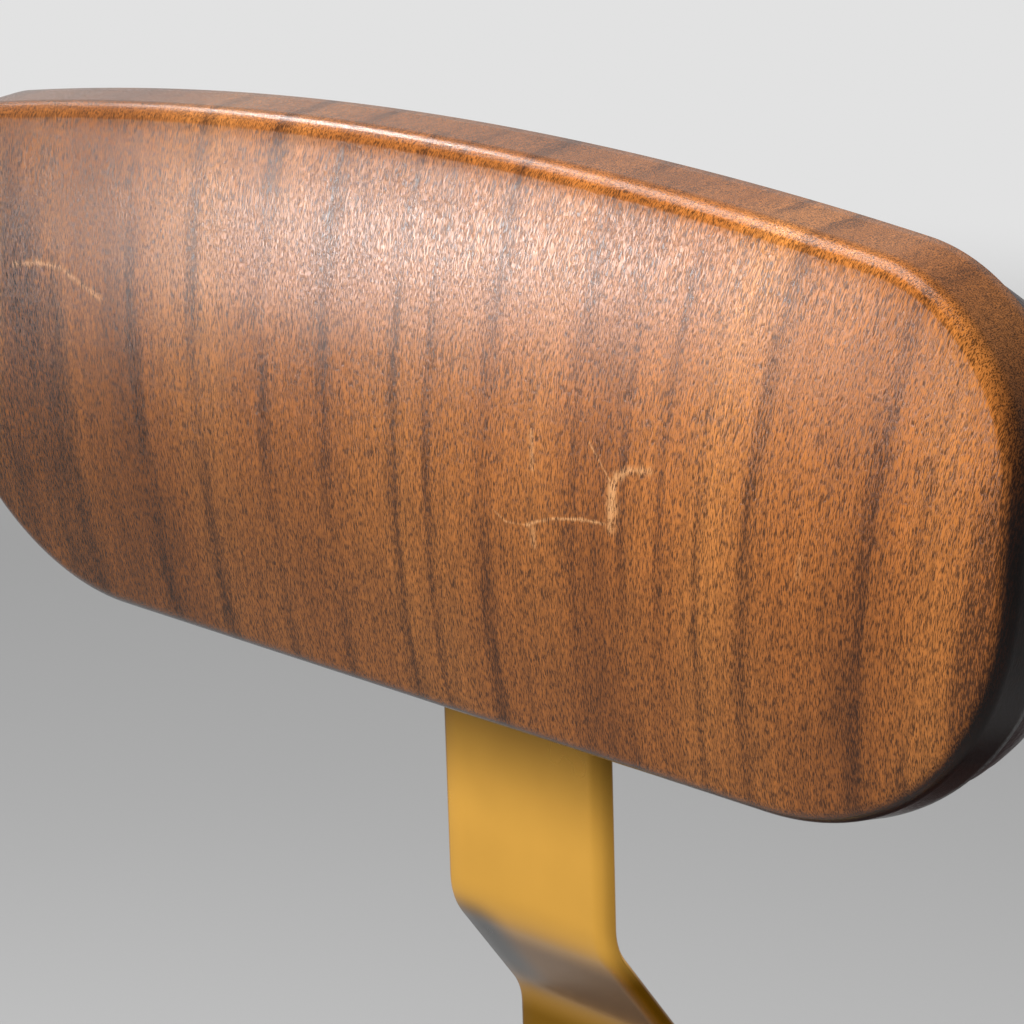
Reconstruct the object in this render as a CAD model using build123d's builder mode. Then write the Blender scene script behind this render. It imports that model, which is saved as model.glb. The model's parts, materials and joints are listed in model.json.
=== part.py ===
from build123d import *
import math
import os

os.makedirs("parts", exist_ok=True)

# Swivel desk chair, millimetres. The floor is Z 0, the column stands on the Z axis
# and the sitter faces -Y, so the back's outer face looks to +Y.

# Overall driving sizes
SEAT_WIDTH = 402
SEAT_DEPTH = 388
SEAT_TOP = 452
SEAT_CENTRE_Y = -8
BACK_WIDTH = 384
BACK_HEIGHT = 143
BACK_RISE = 253
BACK_RECLINE = 6
STRAP_WIDTH = 60
STRAP_THICK = 4
BASE_REACH = 262
LEG_COUNT = 4
LIFT_TRAVEL = 100
TILT_TRAVEL = 12

# Clearances
RUN_FIT = 0.05
FIXED_FIT = 0.03
SOFT_GAP = 0.3
SLIDE_GAP = 0.3

# Casters
WHEEL_R = 25
WHEEL_WIDTH = 20
TYRE_DEPTH = 8
TYRE_ROUND = 3.5
HUB_PROUD = 1
AXLE_R = 4
AXLE_HEAD_R = 6
AXLE_HEAD = 1.5
CASTER_TRAIL = 18
CASTER_TURN = 112
FORK_SHEET = 2.5
FORK_SIDE_GAP = 1.5
CROWN_GAP = 5
CROWN_R = 20
CROWN_SHEET = 3.5
FORK_RAKE = 2
STEM_R = 5.5
STEM_COLLAR_R = 9
STEM_COLLAR = 2.7
STEM_LENGTH = 28
SOCKET_WALL = 2.4
SOCKET_FLANGE = 2
SOCKET_FLANGE_R = 12

# Star base
LEG_TIP_R = 16
LEG_TIP_DEPTH = 30
LEG_ROOT_WIDTH = 42
LEG_ROOT_TOP = 126
LEG_ROOT_DEPTH = 44
LEG_WALL = 5
LEG_EDGE = 5
HUB_R = 33
HUB_LOW = 74
HUB_TOP = 132

# Column
TUBE_R = 25
TUBE_WALL = 2
TUBE_LOW = 62
TUBE_TAPER = 0.8
TUBE_FLOOR = 3
BEARING_R = 14
BEARING_THICK = 6
ROD_R = 5
ROD_HOLE_GAP = 1
GROOVE_DEPTH = 1
ROD_COLLAR_R = 9
ROD_COLLAR = 4
PISTON_R = 10.9
PISTON_THICK = 14
CLIP_THICK = 1.4
CLIP_R = 9
CYLINDER_R = 14
CYLINDER_BORE = 11
CYLINDER_LOW = 110
CYLINDER_RISE = 28
CYLINDER_END = 14
TAPER_LENGTH = 40
TAPER_DROP = 1
BUSHING_LENGTH = 60
BUSHING_FLANGE = 4
BUTTON_R = 3
BUTTON_PROUD = 6

# Tilt mechanism
HOUSING_HALF = 55
HOUSING_FRONT = -100
HOUSING_REAR = 45
HOUSING_DEPTH = 48
HOUSING_SHEET = 2.5
HOUSING_ROUND = 6
SOCKET_R = 19
SOCKET_DROP = 10
SOCKET_CLEAR = 8
SOCKET_SHORT = 2
PIVOT_Y = -42
PIVOT_DROP = 15
PIVOT_R = 6
PIVOT_BOSS = 14
PIVOT_CLIP_R = 9.6
RUBBER_R = 13.5
SLEEVE_WALL = 2.5
RUBBER_HALF = 46
ARM_WIDTH = 24
ARM_THICK = 10
TENSION_Y = -80
TENSION_R = 5
KNOB_R = 27
KNOB_DEPTH = 26
KNOB_LOBES = 8
SCALLOP_AT = 1.14
SCALLOP_R = 0.24
KNOB_EDGE = 2.4
KNOB_BOSS_R = 12
KNOB_BOSS = 5
BUMPER_R = 6
BUMPER_X = 28
SHELF_DEPTH = 13
PLATE_GAP = 8
PLATE_THICK = 3
PLATE_HALF = 92
PLATE_FRONT = -112
PLATE_REAR = 160
PLATE_CORNER = 24
EAR_GAP = 2.5
EAR_WIDTH = 40
LEVER_R = 4
LEVER_DROP = 23
LEVER_REACH = 205
LEVER_BEND = 14
LEVER_PIN_R = 2
LUG_REACH = 7
LUG_SHEET = 3
GRIP_LENGTH = 46
GRIP_WIDTH = 26
GRIP_THICK = 12

# Strap guide and clamp
GUIDE_SHEET = 3
GUIDE_FRONT = 80
GUIDE_REAR = 150
GUIDE_FLANGE = 19
CLAMP_R = 4
CLAMP_BOSS_R = 9
CLAMP_BOSS = 8
CLAMP_KNOB_R = 18
CLAMP_KNOB_DEPTH = 22
CLAMP_LOBES = 6

# Seat
PAN_WALL = 3
PAN_DEPTH = 26
PAN_FOLD = 10
PAN_FLARE = 9
SEAT_REAR_NARROW = 14
SEAT_FRONT_CORNER = 74
SEAT_REAR_CORNER = 92
SEAT_BOW = 10
BOARD_THICK = 12
BOARD_INSET = 22
CUSHION_THICK = 55
CUSHION_PUFF = 4
CUSHION_DRAW = 6
CROWN_RADIUS = 2200
CUSHION_EDGE = 22
SEAT_SCREW_X = 76
SEAT_SCREW_R = 2.5
SCREW_HEAD_R = 6
SCREW_HEAD = 3.2

# Back
BACK_FACE_R = 812
BACK_TOP_SHARE = 0.257
BACK_TOP_R = 1234
BACK_SHOULDER = 5.2
BACK_LOW_NARROW = 12.8
BACK_TOP_CORNER = 42
BACK_LOW_CORNER = 74.5
BACK_WALL = 3
BACK_FOLD = 4.5
BACK_FLARE = 1.7
RIM_DEPTH = 18
BLOCK_GAP = 0.15
BACK_BOARD = 18
BACK_BOARD_SET = 8.5
BACK_BOARD_INSET = 22
PAD_FRONT = 82
PAD_BELLY = 12
PAD_DRAW = 3
PAD_INSET = 2
PAD_SINK = 4
PAD_TAPER = 27
PAD_DIP = 10
PAD_CROWN_R = 330
PAD_EDGE = 15
STRAP_END_UP = 64
JOG_START = 71
JOG_DROP = 33
JOG_FORWARD = 24.5
JOG_BEND = 17
STRAP_BEND = 42
STRAP_KNEE = 190
KNEE_BEND = 120
STRAP_SEAT_GAP = 15
STANDOFF_R = 9
STANDOFF_X = 112
STANDOFF_HIGH = -6
STANDOFF_LOW = -64
BACK_SCREW_LOW = 34
BACK_SCREW_HIGH = 54
BACK_SCREW_R = 2.5
BACK_SCREW_HEAD_R = 5.5
BACK_SCREW_HEAD = 3

# Heights that follow from the sizes above
crown_low = 2 * WHEEL_R + CROWN_GAP
crown_top = crown_low + CROWN_SHEET
collar_top = crown_top + STEM_COLLAR
leg_tip_low = collar_top + SLIDE_GAP + SOCKET_FLANGE
leg_tip_top = leg_tip_low + LEG_TIP_DEPTH
stem_top = collar_top + STEM_LENGTH
socket_bore = STEM_R + RUN_FIT
socket_r = socket_bore + SOCKET_WALL
bearing_low = TUBE_LOW + TUBE_FLOOR
bearing_top = bearing_low + BEARING_THICK
piston_low = CYLINDER_LOW + CYLINDER_END + LIFT_TRAVEL + CYLINDER_END
pan_rim = SEAT_TOP - CUSHION_THICK
plate_top = pan_rim - PAN_DEPTH
plate_low = plate_top - PLATE_THICK
housing_top = plate_low - PLATE_GAP
housing_low = housing_top - HOUSING_DEPTH
pivot_z = housing_top - PIVOT_DROP
socket_low = housing_low - SOCKET_DROP
tube_top = socket_low - SOCKET_CLEAR - BUSHING_FLANGE
cylinder_top = housing_low + CYLINDER_RISE
button_top = cylinder_top + BUTTON_PROUD
board_low = plate_top + PAN_WALL
board_top = board_low + BOARD_THICK
strap_top_face = plate_low - SLIDE_GAP
strap_mid = strap_top_face - STRAP_THICK / 2
back_low_edge = SEAT_TOP + BACK_RISE


def export(piece, name, place=None):
    """Name a finished piece, set it in its place and write it out."""
    if place is not None:
        piece = piece.moved(place)
    piece.label = name
    export_step(piece, f"parts/{name}.step")


# Casters, drawn once about the swivel axis with the wheel trailing to +X
hub_r = WHEEL_R - TYRE_DEPTH
fork_inner = WHEEL_WIDTH / 2 + HUB_PROUD + FORK_SIDE_GAP
fork_outer = fork_inner + FORK_SHEET
wheel_plane = Plane((CASTER_TRAIL, 0, WHEEL_R), x_dir=(1, 0, 0), z_dir=(0, -1, 0))

with BuildPart() as caster_hub:
    with BuildSketch(wheel_plane):
        Circle(hub_r)
        Circle(AXLE_R + RUN_FIT, mode=Mode.SUBTRACT)
    extrude(amount=WHEEL_WIDTH / 2, both=True)
    with BuildSketch(wheel_plane):
        Circle(AXLE_R + 3 * HUB_PROUD)
        Circle(AXLE_R + RUN_FIT, mode=Mode.SUBTRACT)
    extrude(amount=WHEEL_WIDTH / 2 + HUB_PROUD, both=True)

with BuildPart() as caster_tyre:
    with BuildSketch(wheel_plane):
        Circle(WHEEL_R)
        Circle(hub_r + FIXED_FIT, mode=Mode.SUBTRACT)
    extrude(amount=WHEEL_WIDTH / 2, both=True)
    fillet(caster_tyre.edges().filter_by(GeomType.CIRCLE).group_by(SortBy.RADIUS)[-1], radius=TYRE_ROUND)

with BuildPart() as caster_axle:
    with BuildSketch(wheel_plane):
        Circle(AXLE_R)
    extrude(amount=fork_outer + AXLE_HEAD, both=True)
    for side in (1, -1):
        with BuildSketch(wheel_plane.offset(side * fork_outer)):
            Circle(AXLE_HEAD_R)
        extrude(amount=side * AXLE_HEAD)

with BuildPart() as caster_fork:
    with BuildSketch(Plane.XY.offset(crown_low)):
        Circle(CROWN_R)
        Circle(STEM_R + FIXED_FIT, mode=Mode.SUBTRACT)
    extrude(amount=crown_top - crown_low)
    for side in (1, -1):
        with BuildSketch(Plane.XZ.offset(side * fork_inner)):
            with BuildLine():
                Polyline((-CROWN_R / 2, crown_top), (CROWN_R / 2 + FORK_RAKE, crown_top),
                         (CASTER_TRAIL + 2 * AXLE_R, WHEEL_R), (CASTER_TRAIL - 2 * AXLE_R, WHEEL_R),
                         close=True)
            make_face()
            with Locations((CASTER_TRAIL, WHEEL_R)):
                Circle(2 * AXLE_R)
                Circle(AXLE_R + FIXED_FIT, mode=Mode.SUBTRACT)
        extrude(amount=side * FORK_SHEET)

with BuildPart() as caster_stem:
    with BuildSketch(Plane.XY.offset(crown_low)):
        Circle(STEM_R)
    extrude(amount=stem_top - crown_low)
    with BuildSketch(Plane.XY.offset(crown_top)):
        Circle(STEM_COLLAR_R)
    extrude(amount=STEM_COLLAR)

leg_angles = [360 / LEG_COUNT * (i + 0.5) for i in range(LEG_COUNT)]
caster_pieces = (("caster_hub", caster_hub), ("caster_tyre", caster_tyre), ("caster_axle", caster_axle),
                 ("caster_fork", caster_fork), ("caster_stem", caster_stem))
for number, angle in enumerate(leg_angles, start=1):
    tip = (BASE_REACH * math.cos(math.radians(angle)), BASE_REACH * math.sin(math.radians(angle)), 0)
    for name, piece in caster_pieces:
        export(piece.part, f"{name}_{number}", Location(tip, (0, 0, angle + CASTER_TURN)))

# Sleeves pressed into the leg tips, which the caster stems turn in
with BuildPart() as caster_sockets:
    with PolarLocations(BASE_REACH, LEG_COUNT, start_angle=leg_angles[0]):
        Cylinder(SOCKET_FLANGE_R, SOCKET_FLANGE, align=(Align.CENTER, Align.CENTER, Align.MAX))
        Cylinder(socket_r, STEM_LENGTH - SOCKET_FLANGE, align=(Align.CENTER, Align.CENTER, Align.MIN))
        Cylinder(socket_bore, 4 * STEM_LENGTH, mode=Mode.SUBTRACT)
export(caster_sockets.part, "caster_sockets", Location((0, 0, leg_tip_low)))

# Star base: tapering legs, hollow below, on a hub with a tapered bore
leg_end = BASE_REACH + LEG_TIP_R
leg_knee = BASE_REACH - LEG_TIP_R


def leg_height(root, tip, radius):
    """Height of a leg edge that slopes from root at the axis to tip at the knee and then runs level."""
    return root + (tip - root) * min(radius / leg_knee, 1)


def leg_block(inset, start, end):
    """One leg along +X between two radii, taken in by inset at the sides and top and let down below."""
    radii = [start, end] if end <= leg_knee else [start, leg_knee, end]
    upper = [(r, leg_height(LEG_ROOT_TOP, leg_tip_top, r) - inset) for r in radii]
    lower = [(r, leg_height(LEG_ROOT_TOP - LEG_ROOT_DEPTH, leg_tip_low, r) - inset) for r in reversed(radii)]
    with BuildPart() as leg:
        with BuildSketch():
            with BuildLine():
                Polyline((0, LEG_ROOT_WIDTH / 2 - inset), (BASE_REACH, LEG_TIP_R - inset),
                         (BASE_REACH, inset - LEG_TIP_R), (0, inset - LEG_ROOT_WIDTH / 2), close=True)
            make_face()
            with Locations((BASE_REACH, 0)):
                Circle(LEG_TIP_R - inset)
        extrude(amount=LEG_ROOT_TOP)
        with BuildSketch(Plane.XZ):
            with BuildLine():
                Polyline(*upper, *lower, close=True)
            make_face()
        extrude(amount=LEG_ROOT_WIDTH, both=True, mode=Mode.INTERSECT)
    return leg.part


leg_outer = leg_block(0, 0, leg_end)
leg_pocket = leg_block(LEG_WALL, HUB_R + LEG_WALL, leg_knee - LEG_WALL)
with BuildPart() as leg:
    add(leg_outer)
    top_edges = leg.faces().filter_by(lambda f: f.normal_at().Z > 0.9).edges()
    side_edges = top_edges.filter_by(lambda e: e.center().X > HUB_R and abs(e.center().Y) > LEG_EDGE)
    fillet(side_edges, radius=LEG_EDGE)
    add(leg_pocket, mode=Mode.SUBTRACT)

with BuildPart() as star_base:
    with PolarLocations(0, LEG_COUNT, start_angle=leg_angles[0]):
        add(leg.part)
    with Locations((0, 0, HUB_LOW)):
        Cylinder(HUB_R, HUB_TOP - HUB_LOW, align=(Align.CENTER, Align.CENTER, Align.MIN))
    with BuildSketch(Plane.XZ):
        with BuildLine():
            Polyline((0, TUBE_LOW), (TUBE_R - TUBE_TAPER + FIXED_FIT, TUBE_LOW),
                     (TUBE_R + FIXED_FIT, HUB_TOP),
                     (0, HUB_TOP), close=True)
        make_face()
    revolve(axis=Axis.Z, mode=Mode.SUBTRACT)
    with PolarLocations(BASE_REACH, LEG_COUNT, start_angle=leg_angles[0]):
        with Locations((0, 0, leg_tip_low)):
            Cylinder(socket_r + FIXED_FIT, STEM_LENGTH, align=(Align.CENTER, Align.CENTER, Align.MIN),
                     mode=Mode.SUBTRACT)
export(star_base.part, "star_base")


def turned(points):
    """Revolve a closed outline of (radius, height) points about the column's axis."""
    with BuildPart() as piece:
        with BuildSketch(Plane.XZ):
            with BuildLine():
                Polyline(*points, close=True)
            make_face()
        revolve(axis=Axis.Z)
    return piece.part


# Column: tube with a floor, bearing, piston rod and clip, guide bushing, gas cylinder, release button
tube_bore = TUBE_R - TUBE_WALL
rod_hole = ROD_R + ROD_HOLE_GAP
export(turned([(TUBE_R - TUBE_TAPER, TUBE_LOW), (TUBE_R, HUB_TOP), (TUBE_R, tube_top), (tube_bore, tube_top),
               (tube_bore, HUB_TOP), (tube_bore - TUBE_TAPER, bearing_low), (rod_hole, bearing_low),
               (rod_hole, TUBE_LOW)]), "column_tube")
export(turned([(rod_hole, bearing_low), (BEARING_R, bearing_low), (BEARING_R, bearing_top),
               (rod_hole, bearing_top)]), "thrust_bearing")
clip_top = TUBE_LOW - SLIDE_GAP
clip_low = clip_top - CLIP_THICK
groove_r = ROD_R - GROOVE_DEPTH
rod_collar_low = bearing_top + SLIDE_GAP
export(turned([(0, clip_low - CLIP_THICK), (ROD_R, clip_low - CLIP_THICK), (ROD_R, clip_low),
               (groove_r, clip_low), (groove_r, clip_top), (ROD_R, clip_top), (ROD_R, rod_collar_low),
               (ROD_COLLAR_R, rod_collar_low),
               (ROD_COLLAR_R, rod_collar_low + ROD_COLLAR), (ROD_R, rod_collar_low + ROD_COLLAR),
               (ROD_R, piston_low), (PISTON_R, piston_low), (PISTON_R, piston_low + PISTON_THICK),
               (0, piston_low + PISTON_THICK)]),
       "piston_rod")
export(turned([(groove_r + FIXED_FIT, clip_low), (CLIP_R, clip_low), (CLIP_R, clip_top),
               (groove_r + FIXED_FIT, clip_top)]), "rod_clip")
bushing_bore = CYLINDER_R + RUN_FIT
export(turned([(bushing_bore, tube_top - BUSHING_LENGTH), (tube_bore - FIXED_FIT, tube_top - BUSHING_LENGTH),
               (tube_bore - FIXED_FIT, tube_top), (TUBE_R, tube_top), (TUBE_R, tube_top + BUSHING_FLANGE),
               (bushing_bore, tube_top + BUSHING_FLANGE)]), "column_bushing")
taper_low = cylinder_top - TAPER_LENGTH
valve_floor = cylinder_top - CYLINDER_END
export(turned([(ROD_R + RUN_FIT, CYLINDER_LOW), (CYLINDER_R, CYLINDER_LOW), (CYLINDER_R, taper_low),
               (CYLINDER_R - TAPER_DROP, cylinder_top), (BUTTON_R + RUN_FIT, cylinder_top),
               (BUTTON_R + RUN_FIT, valve_floor), (CYLINDER_BORE, valve_floor),
               (CYLINDER_BORE, CYLINDER_LOW + CYLINDER_END), (ROD_R + RUN_FIT, CYLINDER_LOW + CYLINDER_END)]),
       "gas_cylinder")
with BuildPart() as release_button:
    with Locations((0, 0, button_top)):
        Cylinder(BUTTON_R, CYLINDER_END + BUTTON_PROUD, align=(Align.CENTER, Align.CENTER, Align.MAX))
export(release_button.part, "release_button")

# Socket welded into the mechanism housing, holding the cylinder's taper
taper_slope = TAPER_DROP / TAPER_LENGTH
socket_top = cylinder_top - SOCKET_SHORT
export(turned([(CYLINDER_R - taper_slope * (socket_low - taper_low) + FIXED_FIT, socket_low),
               (SOCKET_R, socket_low), (SOCKET_R, socket_top),
               (CYLINDER_R - taper_slope * (socket_top - taper_low) + FIXED_FIT, socket_top)]),
       "column_socket")

# Mechanism housing: a pressed channel, open above, falling to the rear so that the plate can tilt
drop_at_rear = (HOUSING_REAR - PIVOT_Y) * math.tan(math.radians(TILT_TRAVEL))
housing_rear_top = plate_low - drop_at_rear - PLATE_GAP / 2
lever_z = button_top + SLIDE_GAP + LEVER_R
lever_notch = LEVER_R + SLIDE_GAP
lever_pin_x = HOUSING_HALF - HOUSING_SHEET - LUG_REACH / 2
lug_half = LEVER_PIN_R + LUG_SHEET / 2
pin_half = lever_notch + LUG_SHEET
with BuildPart() as housing:
    with BuildSketch(Plane.YZ):
        with BuildLine():
            Polyline((HOUSING_FRONT, housing_low), (HOUSING_REAR, housing_low),
                     (HOUSING_REAR, housing_rear_top), (PIVOT_Y + PIVOT_BOSS, housing_top),
                     (HOUSING_FRONT, housing_top), close=True)
        make_face()
    extrude(amount=HOUSING_HALF, both=True)
    fillet(housing.edges().filter_by(Axis.Z), radius=HOUSING_ROUND)
    with BuildSketch(Plane.XY.offset(housing_low + HOUSING_SHEET)):
        with Locations((0, (HOUSING_FRONT + HOUSING_REAR) / 2)):
            RectangleRounded(2 * (HOUSING_HALF - HOUSING_SHEET),
                             HOUSING_REAR - HOUSING_FRONT - 2 * HOUSING_SHEET,
                             HOUSING_ROUND - HOUSING_SHEET)
    extrude(amount=housing_top, mode=Mode.SUBTRACT)
    with Locations((0, HOUSING_FRONT + HOUSING_SHEET / 2, housing_top)):
        Box(2 * (BUMPER_X + 2 * BUMPER_R), SHELF_DEPTH + HOUSING_SHEET / 2, HOUSING_SHEET,
            align=(Align.CENTER, Align.MIN, Align.MAX))
    with BuildSketch(Plane.XY.offset(housing_low)):
        Circle(SOCKET_R + FIXED_FIT)
        with Locations((0, TENSION_Y)):
            Circle(TENSION_R + RUN_FIT)
    extrude(amount=HOUSING_SHEET, mode=Mode.SUBTRACT)
    with BuildSketch(Plane.YZ):
        with Locations((PIVOT_Y, pivot_z)):
            Circle(PIVOT_R + RUN_FIT)
    extrude(amount=2 * HOUSING_HALF, both=True, mode=Mode.SUBTRACT)
    with BuildSketch(Plane.YZ):
        with Locations((0, lever_z)):
            Circle(lever_notch)
            Rectangle(2 * lever_notch, housing_top, align=(Align.CENTER, Align.MIN))
    extrude(amount=-2 * HOUSING_HALF, mode=Mode.SUBTRACT)
    with Locations(*[(-lever_pin_x, side * (lever_notch + LUG_SHEET / 2), lever_z) for side in (1, -1)]):
        Box(LUG_REACH, LUG_SHEET, 2 * lug_half)
    with Locations((-lever_pin_x, 0, lever_z)):
        Cylinder(LEVER_PIN_R + RUN_FIT, 2 * pin_half, rotation=(90, 0, 0), mode=Mode.SUBTRACT)
export(housing.part, "mechanism_housing")

# Rubber torsion spring: a bush around the pivot inside a steel sleeve with an arm over the tension bolt
pivot_plane = Plane((0, PIVOT_Y, pivot_z), x_dir=(0, 1, 0), z_dir=(1, 0, 0))
sleeve_bore = RUBBER_R + FIXED_FIT
sleeve_r = sleeve_bore + SLEEVE_WALL
arm_reach = PIVOT_Y - TENSION_Y
with BuildPart() as torsion_rubber:
    with BuildSketch(pivot_plane):
        Circle(RUBBER_R)
        Circle(PIVOT_R + RUN_FIT, mode=Mode.SUBTRACT)
    extrude(amount=RUBBER_HALF, both=True)
export(torsion_rubber.part, "torsion_rubber")

with BuildPart() as torsion_arm:
    with BuildSketch(pivot_plane):
        Circle(sleeve_r)
    extrude(amount=RUBBER_HALF, both=True)
    with BuildSketch(Plane.XY.offset(pivot_z)):
        with Locations((0, PIVOT_Y)):
            Rectangle(ARM_WIDTH, arm_reach, align=(Align.CENTER, Align.MAX))
        with Locations((0, TENSION_Y)):
            Circle(ARM_WIDTH / 2)
    extrude(amount=ARM_THICK / 2, both=True)
    with BuildSketch(pivot_plane):
        Circle(sleeve_bore)
    extrude(amount=2 * RUBBER_HALF, both=True, mode=Mode.SUBTRACT)
export(torsion_arm.part, "torsion_arm")

# Tension screw under the arm, turned by a lobed hand knob
bolt_tip = pivot_z - ARM_THICK / 2 - SLIDE_GAP
boss_top = housing_low - SLIDE_GAP
knob_top = boss_top - KNOB_BOSS
knob_low = knob_top - KNOB_DEPTH


def hand_knob(radius, depth, lobes, boss_radius, boss, bore):
    """Lobed knob hanging below Z 0 with a boss on top and a bore down to its middle."""
    with BuildPart() as knob:
        with BuildSketch(Plane.XY.offset(-boss)):
            Circle(radius)
            with PolarLocations(radius * SCALLOP_AT, lobes):
                Circle(radius * SCALLOP_R, mode=Mode.SUBTRACT)
        extrude(amount=-depth)
        fillet(knob.faces().sort_by(Axis.Z)[0].edges(), radius=KNOB_EDGE)
        Cylinder(boss_radius, boss + depth / 2, align=(Align.CENTER, Align.CENTER, Align.MAX))
        Cylinder(bore, boss + depth / 2, align=(Align.CENTER, Align.CENTER, Align.MAX), mode=Mode.SUBTRACT)
    return knob.part


export(hand_knob(KNOB_R, KNOB_DEPTH, KNOB_LOBES, KNOB_BOSS_R, KNOB_BOSS, TENSION_R + FIXED_FIT),
       "tension_knob", Location((0, TENSION_Y, boss_top)))
with BuildPart() as tension_bolt:
    with Locations((0, TENSION_Y, bolt_tip)):
        Cylinder(TENSION_R, bolt_tip - boss_top + KNOB_BOSS + KNOB_DEPTH / 2,
                 align=(Align.CENTER, Align.CENTER, Align.MAX))
export(tension_bolt.part, "tension_bolt")

# Rubber stops on the housing's front shelf, which the plate comes back to
with BuildPart() as stop_bumpers:
    for side in (1, -1):
        with Locations((side * BUMPER_X, HOUSING_FRONT + SHELF_DEPTH / 2 + HOUSING_SHEET / 2, housing_top)):
            Cylinder(BUMPER_R, PLATE_GAP - SOFT_GAP, align=(Align.CENTER, Align.CENTER, Align.MIN))
export(stop_bumpers.part, "stop_bumpers")

# Height lever: a bent rod over the release button, rocking on a cross pin between two lugs, with a flat grip
with BuildPart() as lever_rod:
    bend_x = HOUSING_HALF + 2 * LEVER_R
    with BuildLine() as lever_path:
        FilletPolyline((2 * BUTTON_R, 0, lever_z), (-bend_x, 0, lever_z),
                       (-bend_x - LEVER_DROP, 0, lever_z - LEVER_DROP),
                       (-LEVER_REACH, 0, lever_z - LEVER_DROP), radius=LEVER_BEND)
    with BuildSketch(Plane(lever_path.line @ 0, z_dir=lever_path.line % 0)):
        Circle(LEVER_R)
    sweep()
    with Locations((-lever_pin_x, 0, lever_z)):
        Cylinder(LEVER_PIN_R + FIXED_FIT, 2 * pin_half, rotation=(90, 0, 0), mode=Mode.SUBTRACT)
export(lever_rod.part, "lever_rod")

with BuildPart() as lever_pin:
    with Locations((-lever_pin_x, 0, lever_z)):
        Cylinder(LEVER_PIN_R, 2 * pin_half, rotation=(90, 0, 0))
export(lever_pin.part, "lever_pin")

with BuildPart() as lever_grip:
    with Locations((-LEVER_REACH + GRIP_LENGTH / 2 - 2 * LEVER_R, 0, lever_z - LEVER_DROP)):
        Box(GRIP_LENGTH, GRIP_WIDTH, GRIP_THICK)
    fillet(lever_grip.edges().filter_by(Axis.Z), radius=GRIP_WIDTH / 3)
    fillet(lever_grip.faces().filter_by(Axis.Z).edges(), radius=GRIP_THICK / 5)
    with Locations((-LEVER_REACH, 0, lever_z - LEVER_DROP)):
        Cylinder(LEVER_R + FIXED_FIT, GRIP_LENGTH, rotation=(0, 90, 0),
                 align=(Align.CENTER, Align.CENTER, Align.MIN), mode=Mode.SUBTRACT)
export(lever_grip.part, "lever_grip")

# Tilt plate with two ears on the pivot shaft
ear_inner = HOUSING_HALF + EAR_GAP
ear_outer = ear_inner + PLATE_THICK
seat_screw_y = (PIVOT_Y - EAR_WIDTH, HOUSING_REAR + SCREW_HEAD_R)
seat_screws_at = [(x, y) for x in (-SEAT_SCREW_X, SEAT_SCREW_X) for y in seat_screw_y]
with BuildPart() as tilt_plate:
    with BuildSketch(Plane.XY.offset(plate_low)):
        with Locations((0, (PLATE_FRONT + PLATE_REAR) / 2)):
            RectangleRounded(2 * PLATE_HALF, PLATE_REAR - PLATE_FRONT, PLATE_CORNER)
        with Locations(*seat_screws_at):
            Circle(SEAT_SCREW_R + FIXED_FIT, mode=Mode.SUBTRACT)
    extrude(amount=PLATE_THICK)
    for side in (1, -1):
        with BuildSketch(Plane.YZ.offset(side * ear_inner)):
            with BuildLine():
                Polyline((PIVOT_Y - EAR_WIDTH / 2, plate_low), (PIVOT_Y + EAR_WIDTH / 2, plate_low),
                         (PIVOT_Y + PIVOT_BOSS, pivot_z), (PIVOT_Y - PIVOT_BOSS, pivot_z), close=True)
            make_face()
            with Locations((PIVOT_Y, pivot_z)):
                Circle(PIVOT_BOSS)
                Circle(PIVOT_R + FIXED_FIT, mode=Mode.SUBTRACT)
        extrude(amount=side * PLATE_THICK)
export(tilt_plate.part, "tilt_plate")

groove_x = ear_outer + SLIDE_GAP
with BuildPart() as pivot_shaft:
    with BuildSketch(pivot_plane):
        Circle(PIVOT_R)
    extrude(amount=groove_x + 2 * CLIP_THICK, both=True)
    for side in (1, -1):
        with BuildSketch(pivot_plane.offset(side * groove_x)):
            Circle(2 * PIVOT_R)
            Circle(PIVOT_R - GROOVE_DEPTH, mode=Mode.SUBTRACT)
        extrude(amount=side * CLIP_THICK, mode=Mode.SUBTRACT)
export(pivot_shaft.part, "pivot_shaft")

with BuildPart() as pivot_clips:
    for side in (1, -1):
        with BuildSketch(pivot_plane.offset(side * groove_x)):
            Circle(PIVOT_CLIP_R)
            Circle(PIVOT_R - GROOVE_DEPTH + FIXED_FIT, mode=Mode.SUBTRACT)
        extrude(amount=side * CLIP_THICK)
export(pivot_clips.part, "pivot_clips")

# Guide under the plate that the strap slides in, with a boss for the clamp screw
strap_half = STRAP_WIDTH / 2
guide_inner = strap_half + SLIDE_GAP
guide_outer = guide_inner + GUIDE_SHEET
guide_floor = strap_top_face - STRAP_THICK - SLIDE_GAP
guide_low = guide_floor - GUIDE_SHEET
guide_mid = (GUIDE_FRONT + GUIDE_REAR) / 2
with BuildPart() as strap_guide:
    with BuildSketch(Plane.XZ.offset(-GUIDE_FRONT)):
        with Locations((0, plate_low)):
            Rectangle(2 * guide_outer, plate_low - guide_low, align=(Align.CENTER, Align.MAX))
            Rectangle(2 * (guide_outer + GUIDE_FLANGE), GUIDE_SHEET, align=(Align.CENTER, Align.MAX))
            Rectangle(2 * guide_inner, plate_low - guide_floor, align=(Align.CENTER, Align.MAX),
                      mode=Mode.SUBTRACT)
    extrude(amount=GUIDE_FRONT - GUIDE_REAR)
    with Locations((0, guide_mid, guide_low)):
        Cylinder(CLAMP_BOSS_R, CLAMP_BOSS, align=(Align.CENTER, Align.CENTER, Align.MAX))
        Cylinder(CLAMP_R + RUN_FIT, 4 * CLAMP_BOSS, mode=Mode.SUBTRACT)
export(strap_guide.part, "strap_guide")

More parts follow.
